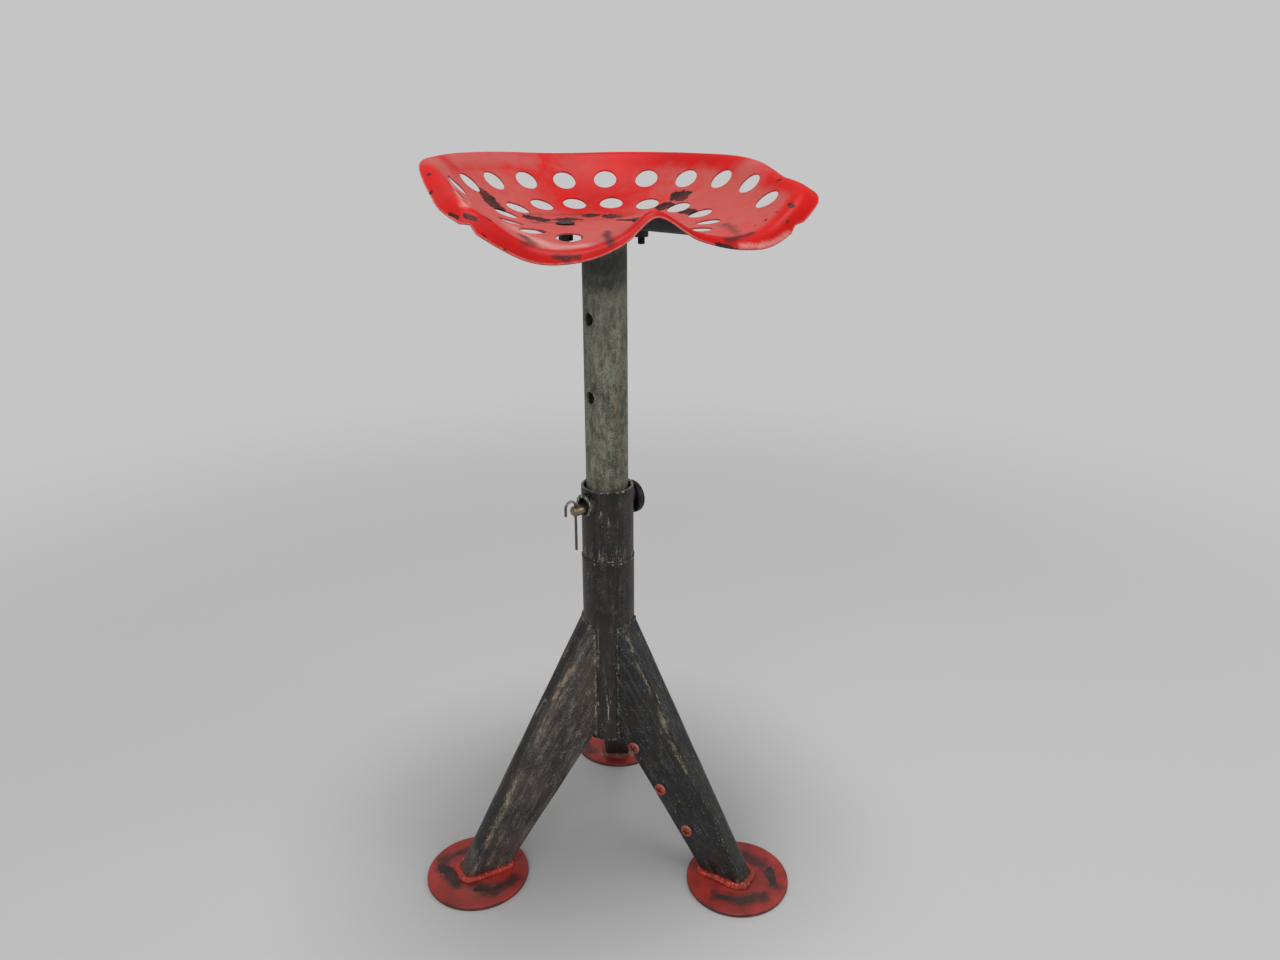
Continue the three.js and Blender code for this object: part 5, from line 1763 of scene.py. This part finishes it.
        def place(side: float, lift: float) -> Vector:
            """A place on the bead's line at a side and a height over the outer edge."""
            x = math.sqrt(ring ** 2 - (side + self.sideways) ** 2)
            rise = (lift - (self.tube_radius - x) * run.y) / run.x
            return Vector((x, side, self.seam_high + rise))

        over = []
        for step in range(crown_steps + 1):
            angle = math.radians(90 * step / crown_steps)
            reach = self.outer_corner + offset - crown_inset * step / crown_steps
            over.append((half - self.outer_corner + reach * math.cos(angle),
                         -self.outer_corner + reach * math.sin(angle)))
        left = [place(side, lift) for side, lift in over]
        right = [place(-side, lift) for side, lift in reversed(over)]
        low = self.seam_low + setup

        def flank(end: Vector) -> list[Vector]:
            """The bead's line from its foot up to just under an end of the crown."""
            return [Vector((end.x, end.y, low + (end.z - low) * i / flank_steps))
                    for i in range(flank_steps)]

        path = [*flank(left[0]), *left, *right, *reversed(flank(right[-1]))]
        path = [self.place @ p for p in path]
        weld = shop.weld(f"leg_{self.name}_seam", path, False, radius, self.steel, pitch=4.2,
                         ripple=0.22, wobble=0.9, seed=len(self.name) * 1.7)
        unevenness(weld, 3, 0.5)
        store(weld, Mark.PALE, np.full(len(weld.data.vertices), 0.5))
        store(weld, Mark.EDGE, np.full(len(weld.data.vertices), 0.35))
        shop.dress(weld, "base", "weld_steel", [f"leg_weld_{self.name}"], self.steel)

    def build_foot_weld(self, shop: Shop) -> None:
        """The lumpy bead round the leg's foot, painted with its plate."""
        offset, radius = (1.0, 4.2) if self.name == "rear" else (1.5, 5.2)
        lean = [edge[1].x + (edge[1] - edge[0]).x / (edge[1] - edge[0]).y * offset
                for edge in (self.outer, self.inner)]
        toe, heel = lean[0] + offset, lean[1] - offset
        half = self.width_foot / 2 + offset
        big, small = self.outer_corner + offset, self.inner_corner + offset
        outline = filleted([(toe, half, big), (heel, half, small), (heel, -half, small),
                            (toe, -half, big)], 10)
        level = self.plate + offset - self.sunk_in_plate
        path = [self.place @ Vector((x, y, level)) for x, y in outline]
        finish = REAR_BEAD if self.name == "rear" else BEAD_RED
        weld = shop.weld(f"foot_{self.name}_bead", path, True, radius, finish, pitch=8,
                         ripple=0.16, wobble=0.8, seed=len(self.name) * 2.3, facets=24)
        unevenness(weld, 10, 1.3)
        unevenness(weld, 3.2, 0.8)
        for vertex in weld.data.vertices:
            vertex.co.z = max(vertex.co.z, MM)
        # A painted highlight over the bead's upper part.
        store(weld, Mark.PALE, ease(vertex_places(weld)[:, 2], self.plate + 3, 4) * 0.25)
        shop.dress(weld, "base", "foot_red", [f"foot_weld_{self.name}"], finish)


LEG_MARKS = {
    "left": (
        *strokes(
            Mark.PALE, (((563, 656), (572, 642), (580, 634)), 3.2, 0.95),
            (((551, 702), (560, 684), (566, 676)), 3.2, 0.9), (((533, 722), (545, 700)), 3.5, 0.7),
            (((584, 619), (591, 628)), 2.2, 1.0), (((586, 690), (586, 716), (578, 724)), 5.0, 0.9),
            (((556, 742), (566, 752), (560, 758)), 8.0, 0.8), (((575, 735), (585, 728)), 7.0, 0.8),
            (((560, 700), (575, 715), (585, 705)), 10.0, 0.45),
            (((500, 838), (494, 850), (488, 866)), 3.0, 0.9),
            (((515, 838), (511, 850), (505, 862)), 5.0, 0.7),
            (((512, 775), (506, 800), (500, 815)), 3.0, 0.6)),
        *strokes(
            Mark.SMUDGE,
            (((582, 628), (562, 665), (539, 710), (516, 763), (491, 817), (479, 845)), 7.5, 1.1),
            (((570, 665), (560, 690)), 6.0, 0.6), (((550, 790), (530, 820)), 9.0, 0.6)),
    ),
    "right": (
        *strokes(
            Mark.PALE, (((628, 634), (636, 650)), 3.2, 1.0), (((622, 624), (632, 621)), 2.2, 1.0),
            (((646, 692), (662, 724), (686, 774)), 2.2, 0.45),
            (((640, 668), (650, 690)), 3.0, 0.6), (((650, 700), (668, 740)), 5.0, 0.4),
            (((650, 766), (664, 768)), 4.0, 0.6), (((630, 740), (636, 740)), 2.0, 1.0),
            (((657, 784), (663, 783)), 2.4, 1.0), (((684, 823), (691, 822)), 2.4, 1.0)),
        *strokes(
            Mark.SMUDGE, (((700, 800), (725, 850), (735, 880)), 12.0, 0.8),
            (((680, 830), (705, 870)), 10.0, 0.5)),
    ),
    "rear": (
        # Painted shade on the rear leg's inner face.
        *strokes(Mark.SMUDGE, (((602, 742), (615, 745), (624, 742)), 12.0, 0.9)),
    ),
}

PLATE_MARKS = {
    "left": (
        *strokes(
            Mark.BARE, (((441, 866), (449, 874), (457, 884), (448, 869)), 5.6, 0.75),
            (((446, 858), (460, 853)), 3.2, 0.5),
            (((476, 889), (492, 889), (512, 881)), 4.6, 0.6)),
        # The last of these is painted shade beside the leg.
        *strokes(
            Mark.SMUDGE, (((441, 866), (449, 874), (457, 884)), 9.0, 1.0),
            (((443, 861), (455, 855), (466, 851)), 7.0, 1.0),
            (((474, 884), (492, 892), (516, 878)), 9.0, 0.95),
            (((505, 845), (520, 858)), 9.0, 0.5)),
        *strokes(Mark.RUB, (((440, 850), (470, 890), (500, 892)), 16.0, 0.7)),
    ),
    "right": (
        *strokes(
            Mark.BARE, (((717, 896), (740, 901), (762, 896)), 5.2, 0.7),
            (((769, 870), (773, 884)), 5.0, 0.75)),
        *strokes(
            Mark.SMUDGE, (((745, 856), (762, 866)), 12.0, 0.9),
            (((716, 896), (740, 901), (764, 896)), 9.0, 1.0), (((766, 868), (776, 886)), 8.0, 0.8),
            (((697, 905), (712, 912)), 4.0, 0.6)),
    ),
    "rear": (
        *strokes(
            Mark.PALE, (((602, 754), (620, 757), (636, 754)), 4.0, 0.95),
            (((600, 748), (603, 756)), 3.0, 0.7)),
        # Painted shadow of the left leg over the rear plate.
        *strokes(Mark.SMUDGE, (((584, 742), (590, 752), (597, 764)), 9.0, 1.0)),
    ),
}


@dataclass
class Stand:
    """The welded stand: tripod, stand tube, guide sleeve and the bosses of the cross pin."""

    plate_radius: float = 62.0
    plate_thickness: float = 5.0
    foot_circle: float = 185.0
    tube_radius: float = 30.75
    tube_wall: float = 3.8
    sleeve_radius: float = 30.15
    sleeve_wall: float = 3.2
    seam_setup: float = 3.0
    seam_length: float = 156.0
    boss_radius: float = 13.5
    boss_bore: float = 9.25
    boss_setdown: float = 18.5
    boss_standoffs: tuple[float, float] = (5.8, 2.3)
    pin_azimuth: float = 41.8
    tube_edge: float = 1.2
    sleeve_edge: float = 0.9
    weld_circle: float = 29.3
    weld_radius: float = 2.0
    screw_radius: float = 7.5
    screw_height: float = 4.2
    screw_pitch: float = 60.0
    # How the screws' crosses are turned, from the uppermost screw down
    screw_turns: tuple[float, ...] = (12.0, 34.0, 60.0)
    # Each leg's azimuth, the insets of its heel and toe from its plate's edges, and its shift
    stances: dict[str, tuple[float, float, float, float]] = field(default_factory=lambda: {
        "left": (-151.8, 27.0, 41.0, -3.5), "right": (-31.8, 21.5, 46.5, 0.0),
        "rear": (88.2, 23.0, 44.0, 0.0)})

    def build(self, shop: Shop) -> None:
        """Builds every piece of the stand."""
        self.build_tube(shop)
        self.build_sleeve(shop)
        self.build_bosses(shop)
        for name, (azimuth, heel_inset, toe_inset, sideways) in self.stances.items():
            low = heights_of("stand_tube")[0] + self.seam_setup
            leg = Leg(name, azimuth, self.foot_circle - self.plate_radius + heel_inset,
                      self.foot_circle + self.plate_radius - toe_inset, sideways, low,
                      low + self.seam_length)
            leg.build(shop, LEG_MARKS[name])
            self.build_plate(shop, name, azimuth)
            if name == "right":
                self.build_screws(shop, leg)

    def build_tube(self, shop: Shop) -> None:
        """The stand tube, and the weld that joins the sleeve to it."""
        line_drop, line_width = 1.1, 0.55
        low, high = heights_of("stand_tube")
        tube = drilled_pipe("stand_pipe", self.tube_radius, self.tube_wall, low, high,
                            self.tube_edge, self.pin_azimuth, self.boss_bore, [])
        marks = (
            *strokes(
                Mark.PALE, (((598, 640), (597, 665)), 2.6, 0.8),
                (((609, 690), (609, 712)), 2.0, 0.6), (((590, 624), (591, 640)), 3.0, 0.6),
                (((603, 728), (611, 737)), 5.0, 0.7),
                (((600, 650), (606, 690), (610, 730)), 12.0, 0.35)),
            *strokes(
                Mark.EDGE, (((597.5, 691), (598, 705)), 0.45, 1.15),
                (((606, 691), (608, 704), (608.5, 719)), 0.45, 1.25),
                (((624.3, 702), (624, 709)), 0.45, 1.1), (((610.6, 701), (611, 705)), 0.5, 1.1),
                (((598, 622), (598, 648)), 0.45, 1.15)),
        )
        paint(tube, marks, shop.viewpoint)
        shop.dress(tube, "base", "frame_steel", ["stand_tube"], TUBE_STEEL, TUBE_STEEL)
        ring = ring_at(frame_at(0), self.weld_circle, high, 110)
        weld = shop.weld("sleeve_weld_bead", ring, True, self.weld_radius, TUBE_STEEL, pitch=2.2,
                         ripple=0.2, wobble=0.3, seed=6.0)
        drop = vertex_places(weld)[:, 2] - high + line_drop
        store(weld, Mark.EDGE, np.exp(-(drop / line_width) ** 2))
        shop.dress(weld, "base", "weld_steel", ["sleeve_weld"], TUBE_STEEL)

    def build_sleeve(self, shop: Shop) -> None:
        """The guide sleeve with its cross bore."""
        low, high = heights_of("guide_sleeve")
        sleeve = drilled_pipe("sleeve_pipe", self.sleeve_radius, self.sleeve_wall, low, high,
                              self.sleeve_edge, self.pin_azimuth, self.boss_bore,
                              [high - self.boss_setdown])
        marks = (
            *strokes(Mark.RIDGE, (((588, 554), (605, 558), (622, 555)), 6.0, 1.6)),
            *strokes(
                Mark.PALE, (((601, 512), (600, 518)), 1.8, 0.95),
                (((610, 500), (609, 526)), 1.6, 0.8), (((594, 505), (594, 512)), 1.5, 0.7),
                (((586, 530), (586, 542)), 1.8, 0.7)),
            *strokes(
                Mark.EDGE, (((601, 511), (600, 518)), 0.6, 1.5),
                (((609, 522), (609, 527)), 0.6, 1.5), (((593, 502), (593, 508)), 0.5, 1.4)),
        )
        paint(sleeve, marks, shop.viewpoint)
        shop.dress(sleeve, "base", "frame_steel", ["guide_sleeve"], TUBE_STEEL, TUBE_STEEL)

    def build_bosses(self, shop: Shop) -> None:
        """The rings round the cross bore, hollowed to lie on the sleeve."""
        sunk, lip_depth, lip_fade = 0.4, 2.2, 1.6
        height = heights_of("guide_sleeve")[1] - self.boss_setdown
        place = frame_at(self.pin_azimuth)
        for name, way, standoff in zip(("front", "rear"), (-1, 1), self.boss_standoffs):
            outer = self.sleeve_radius + standoff
            rings = []
            for turn in circle(72):
                across, up = math.sin(turn), math.cos(turn)
                inner = [math.sqrt(self.sleeve_radius ** 2 - (r * across) ** 2) - sunk
                         for r in (self.boss_bore, self.boss_radius)]
                corners = [(self.boss_bore, inner[0], 0), (self.boss_radius, inner[1], 0),
                           (self.boss_radius, outer, 1.5), (self.boss_bore, outer, 0.8)]
                rings.append([place @ Vector((way * d, r * across, height + r * up))
                              for r, d in filleted(corners, 5)])
            boss = skin(f"boss_{name}_ring", rings, loop=True)
            depth, side, level = seen_from(vertex_places(boss), place).T
            above = (level - height) / self.boss_radius
            ring_wear_and_highlight = np.clip(np.hypot(side / self.boss_radius, above) - 0.35, 0, 0.6)
            face = ease(way * depth, outer - lip_depth, lip_fade)
            # Bright scratches round the ring's face and a painted highlight, stronger towards the
            # top.
            store(boss, Mark.EDGE, 0.25 + face * ring_wear_and_highlight * (0.6 + 0.4 * np.clip(above, 0, 1)))
            shop.dress(boss, "base", "frame_steel", [f"pin_boss_{name}"], TUBE_STEEL)

    def build_plate(self, shop: Shop, name: str, azimuth: float) -> None:
        """A foot plate with dense rings for its wear and its painted shade at the rim."""
        place = frame_at(azimuth) @ Matrix.Translation((self.foot_circle, 0, 0))
        radius, thick = self.plate_radius, self.plate_thickness
        rim_width, painted_rim_shade, ring_step = 1.6, 0.75, 2.5
        profile = filleted([(0, 0, 0), (radius, 0, 1.0), (radius, thick, 1.4)], 4)
        profile += [Vector((r, thick)) for r in (*np.arange(radius - 4, 1, -ring_step), 0)]
        plate = skin(f"plate_{name}_disc", lathe(profile, place, 120), loop=True)
        x, y, _ = seen_from(vertex_places(plate), place).T
        # Painted shade along the plate's rim.
        rim = ease(np.hypot(x, y), radius - rim_width, rim_width)
        store(plate, Mark.SMUDGE, rim * painted_rim_shade)
        paint(plate, PLATE_MARKS[name], shop.viewpoint)
        shop.dress(plate, "base", "foot_red", [f"foot_{name}"], FOOT_RED)

    def build_screws(self, shop: Shop, leg: Leg) -> None:
        """The row of cross-recessed screws on the right leg's front flank."""
        radius, tall = self.screw_radius, self.screw_height
        shank, shank_end, brim = 3, -6, 2.0
        slot_reach, slot_width, slot_depth = 4.8, 1.35, 2.6
        profile = [(0, shank_end, 0), (shank, shank_end, 0), (shank, 0, 0), (radius, 0.1, 0.4),
                   (radius, brim, 0.5)]
        profile += [(r, brim + (tall - brim) * (1 - (r / radius) ** 2), 0)
                    for r in (6.6, 5.4, 4.0, 2.4, 0)]
        screw = turned("screw", profile, Matrix(), 48)
        tools = []
        for turn in (0, 90):
            cross = Matrix.Rotation(math.radians(turn), 3, "Z")
            slot = [[cross @ Vector((x * share * slot_reach, y * share * slot_width, height))
                     for x, y in ((1, 1), (-1, 1), (-1, -1), (1, -1))]
                    for height, share in ((tall - slot_depth, 0.75), (tall + 1, 1.15))]
            tools.append(skin(f"slot_{turn}", slot))
        screw = carved(screw, tools)
        x, y, height = vertex_places(screw).T
        away = np.hypot(x, y)
        # A painted highlight on the lit side of the rim, and painted shade down in the cross
        # recess.
        lit = 0.3 + 0.35 * np.clip(x / radius, -1, 1)
        store(screw, Mark.PALE, ease(away, 5.6, 1.2) * lit)
        store(screw, Mark.SMUDGE, (away < 5.2) * ease(height, tall - 1.5, -1))
        run = (leg.inner[1] - leg.inner[0]).normalized()
        inward = Vector((-run.y, run.x))
        way = leg.place.to_3x3() @ Vector((0, -1, 0))
        first, from_edge, drift = 14.5, 10, 2.5
        places = []
        for index, turn in enumerate(self.screw_turns):
            spot = (leg.inner[0] + run * (first + index * self.screw_pitch)
                    + inward * (from_edge + index * drift))
            side = -leg.half_width((spot - leg.start).dot(leg.along))
            places.append((leg.place @ Vector((spot.x, side, spot.y)), way, turn))
        screws = shop.fasten("leg_screws", screw, places, SCREW_ORANGE)
        nodes = [f"leg_screw_{name}" for name in ("upper", "middle", "lower")]
        shop.dress(screws, "base", "screw_orange", nodes, SCREW_ORANGE)


@dataclass
class Lock:
    """The cross pin with its head disc, and the wire clip through its tip."""

    azimuth: float = 41.8
    pin_radius: float = 6.0
    tip_reach: float = 51.5
    head_radius: float = 19.5
    head_thickness: float = 9.8
    head_inner: float = 32.75
    head_sag: float = 4.0
    head_round: float = 3.4
    # The shallow dish in the head's outer face: its edge, its slope's width and its depth
    dish_inset: float = 6.5
    dish_slope: float = 1.3
    dish_depth: float = 1.2
    tip_chamfer: float = 1.8
    end_setback: float = 0.4
    clip_hole_radius: float = 2.1
    clip_setback: float = 4.5
    wire_radius: float = 1.5
    bend: float = 7.0
    leg: float = 54.0
    crook: float = 9.0

    def __post_init__(self) -> None:
        """Sets the pin's axis, the head's outer face and how far out the clip is."""
        self.lift = sum(heights_of("lock_pin_head")) / 2
        self.place = frame_at(self.azimuth) @ Matrix.Translation((0, 0, self.lift))
        self.lying = self.place @ Matrix.Rotation(math.radians(90), 4, "Y")
        self.outer = self.head_inner + self.head_thickness
        self.clip_reach = self.tip_reach - self.clip_setback

    def build(self, shop: Shop) -> None:
        """Builds the pin, its head and the clip."""
        self.build_pin(shop)
        self.build_head(shop)
        self.build_clip(shop)

    def build_pin(self, shop: Shop) -> None:
        """The rod with its chamfered tip and the clip's cross hole."""
        radius, tip, end = self.pin_radius, -self.tip_reach, self.outer - self.end_setback
        pin = turned("pin_rod", [(0, tip, 0), (radius - self.tip_chamfer, tip, 0.5),
                                 (radius, tip + self.tip_chamfer, 0.5), (radius, end, 0),
                                 (0, end, 0)], self.lying, 64)
        bore, half = self.clip_hole_radius, 10
        across = self.place @ Matrix.Translation((-self.clip_reach, 0, 0))
        drill = turned("drill", [(0, -half, 0), (bore, -half, 0), (bore, half, 0), (0, half, 0)],
                       across, 32)
        shop.dress(carved(pin, [drill]), "pin", "pin_brass", ["lock_pin"], PIN_BRASS)

    def build_head(self, shop: Shop) -> None:
        """The thick disc with a shallow dish in its outer face."""
        inner, rim = self.pin_radius - 0.2, self.head_radius
        dish, floor = rim - self.dish_inset, self.outer - self.dish_depth
        profile = [(inner, self.head_inner, 0), (rim, self.head_inner, self.head_round),
                   (rim, self.outer, self.head_round), (dish, self.outer, 1.5),
                   (dish - self.dish_slope, floor, 1.0), (inner, floor, 0)]
        sag = Matrix.Translation((0, 0, -self.head_sag))
        head = turned("pin_disc", profile, sag @ self.lying, 96, 7)
        shop.dress(head, "pin", "black_steel", ["lock_pin_head"], BLACK_STEEL)

    def build_clip(self, shop: Shop) -> None:
        """The wire: a long leg down through the pin, a bend over it and a short crook."""
        leg_step, crook_step, bend_points = 2, 1.5, 24
        high, near, middle = self.pin_radius, -self.clip_reach, -self.clip_reach - self.bend
        path = [Vector((near, 0, high - self.leg + i * leg_step))
                for i in range(int(self.leg / leg_step))]
        path += [Vector((middle + self.bend * math.cos(a), 0, high + self.bend * math.sin(a)))
                 for a in np.linspace(0, math.pi, bend_points)]
        path += [Vector((middle - self.bend, 0, high - i * crook_step))
                 for i in range(1, int(self.crook / crook_step) + 1)]
        clip = shop.weld("clip_wire", [self.place @ p for p in path], False, self.wire_radius,
                         CLIP_STEEL, ripple=0.0, wobble=0.0, step=1.0, facets=16)
        # A painted highlight over the top of the bend.
        store(clip, Mark.EDGE, ease(vertex_places(clip)[:, 2], self.lift + high, self.bend))
        shop.dress(clip, "clip", "black_steel", ["hitch_clip"], CLIP_STEEL)


@dataclass(frozen=True)
class Lamp:
    """A large soft lamp that looks at the middle of the stool.

    Its place and its width are in metres and its power is in watts.
    """

    name: str
    place: tuple[float, float, float]
    width: float
    power: float
    target: float = 0.4

    def build(self) -> None:
        """Hangs the lamp."""
        light = bpy.data.lights.new(self.name, "AREA")
        light.shape = "DISK"
        light.size = self.width
        light.energy = self.power
        holder = bpy.data.objects.new(self.name, light)
        way = UP * self.target - Vector(self.place)
        turn = way.to_track_quat("-Z", "Y").to_matrix().to_4x4()
        holder.matrix_world = Matrix.Translation(self.place) @ turn
        bpy.context.scene.collection.objects.link(holder)


@dataclass
class Studio:
    """A plain pale floor that runs into a background of its own colour, and soft light.

    Its lengths are in metres.
    """

    floor: str = "c6c5c5"
    spread: float = 60.0
    # From and to which distance the floor turns into the background's plain colour
    fade: tuple[float, float] = (0.45, 2.2)
    sky: float = 0.42
    lamps: tuple[Lamp, ...] = (Lamp("key", (0.08, -0.07, 2.7), 0.7, 30.0),
                               Lamp("front", (-0.6, -2.4, 1.5), 2.2, 15.3),
                               Lamp("side", (2.1, -0.6, 1.4), 1.8, 9.0))

    def build(self) -> None:
        """Makes the floor, the world and the lamps."""
        mesh = bpy.data.meshes.new("floor")
        far = self.spread
        corners = [(-far, -far, 0), (far, -far, 0), (far, far, 0), (-far, far, 0)]
        mesh.from_pydata(corners, [], [(0, 1, 2, 3)])
        ground = plain_object("floor", mesh)
        ground.data.materials.append(self.floor_material())
        self.build_world()
        for lamp in self.lamps:
            lamp.build()

    def floor_material(self) -> bpy.types.Material:
        """Matt near the stool, and the background's own colour for the camera far from it."""
        s = Shader("pale floor")
        s.finish(srgb(self.floor), 0.9, specular=0.1)
        glow = s.node("ShaderNodeEmission", inputs={"Color": srgb(self.floor), "Strength": 1.0})
        away = s.node("ShaderNodeVectorMath", {"operation": "LENGTH"}, {0: s.object_place})
        seen = Wire(s, s.node("ShaderNodeLightPath").outputs["Is Camera Ray"])
        share = Wire(s, away.outputs["Value"]).ramp(*self.fade) * seen
        mixed = s.node("ShaderNodeMixShader", inputs={0: share, 1: s.surface.outputs[0],
                                                      2: glow.outputs[0]})
        s.plug(s.output.inputs["Surface"], mixed.outputs[0])
        return s.material

    def build_world(self) -> None:
        """An even sky that the camera sees as the floor's colour."""
        world = bpy.data.worlds.new("studio")
        bpy.context.scene.world = world
        world.use_nodes = True
        sky = Nodes(world.node_tree)
        path = sky.node("ShaderNodeLightPath")
        lit = sky.node("ShaderNodeBackground", inputs={"Color": srgb("ffffff"),
                                                       "Strength": self.sky})
        seen = sky.node("ShaderNodeBackground", inputs={"Color": srgb(self.floor)})
        mixed = sky.node("ShaderNodeMixShader", inputs={0: path.outputs["Is Camera Ray"],
                                                        1: lit.outputs[0], 2: seen.outputs[0]})
        sky.node("ShaderNodeOutputWorld", inputs={"Surface": mixed.outputs[0]})


def main() -> None:
    """Builds the stool, the studio and the camera, and writes how large the model came out."""
    logging.basicConfig(level=logging.INFO, format="%(name)s: %(message)s")
    bpy.context.scene.view_settings.view_transform = "Standard"
    viewpoint = Viewpoint()
    viewpoint.build()
    shop = Shop(viewpoint)
    Seat().build(shop)
    Stand().build(shop)
    Lock().build(shop)
    Studio().build()


if __name__ == "__main__":
    main()
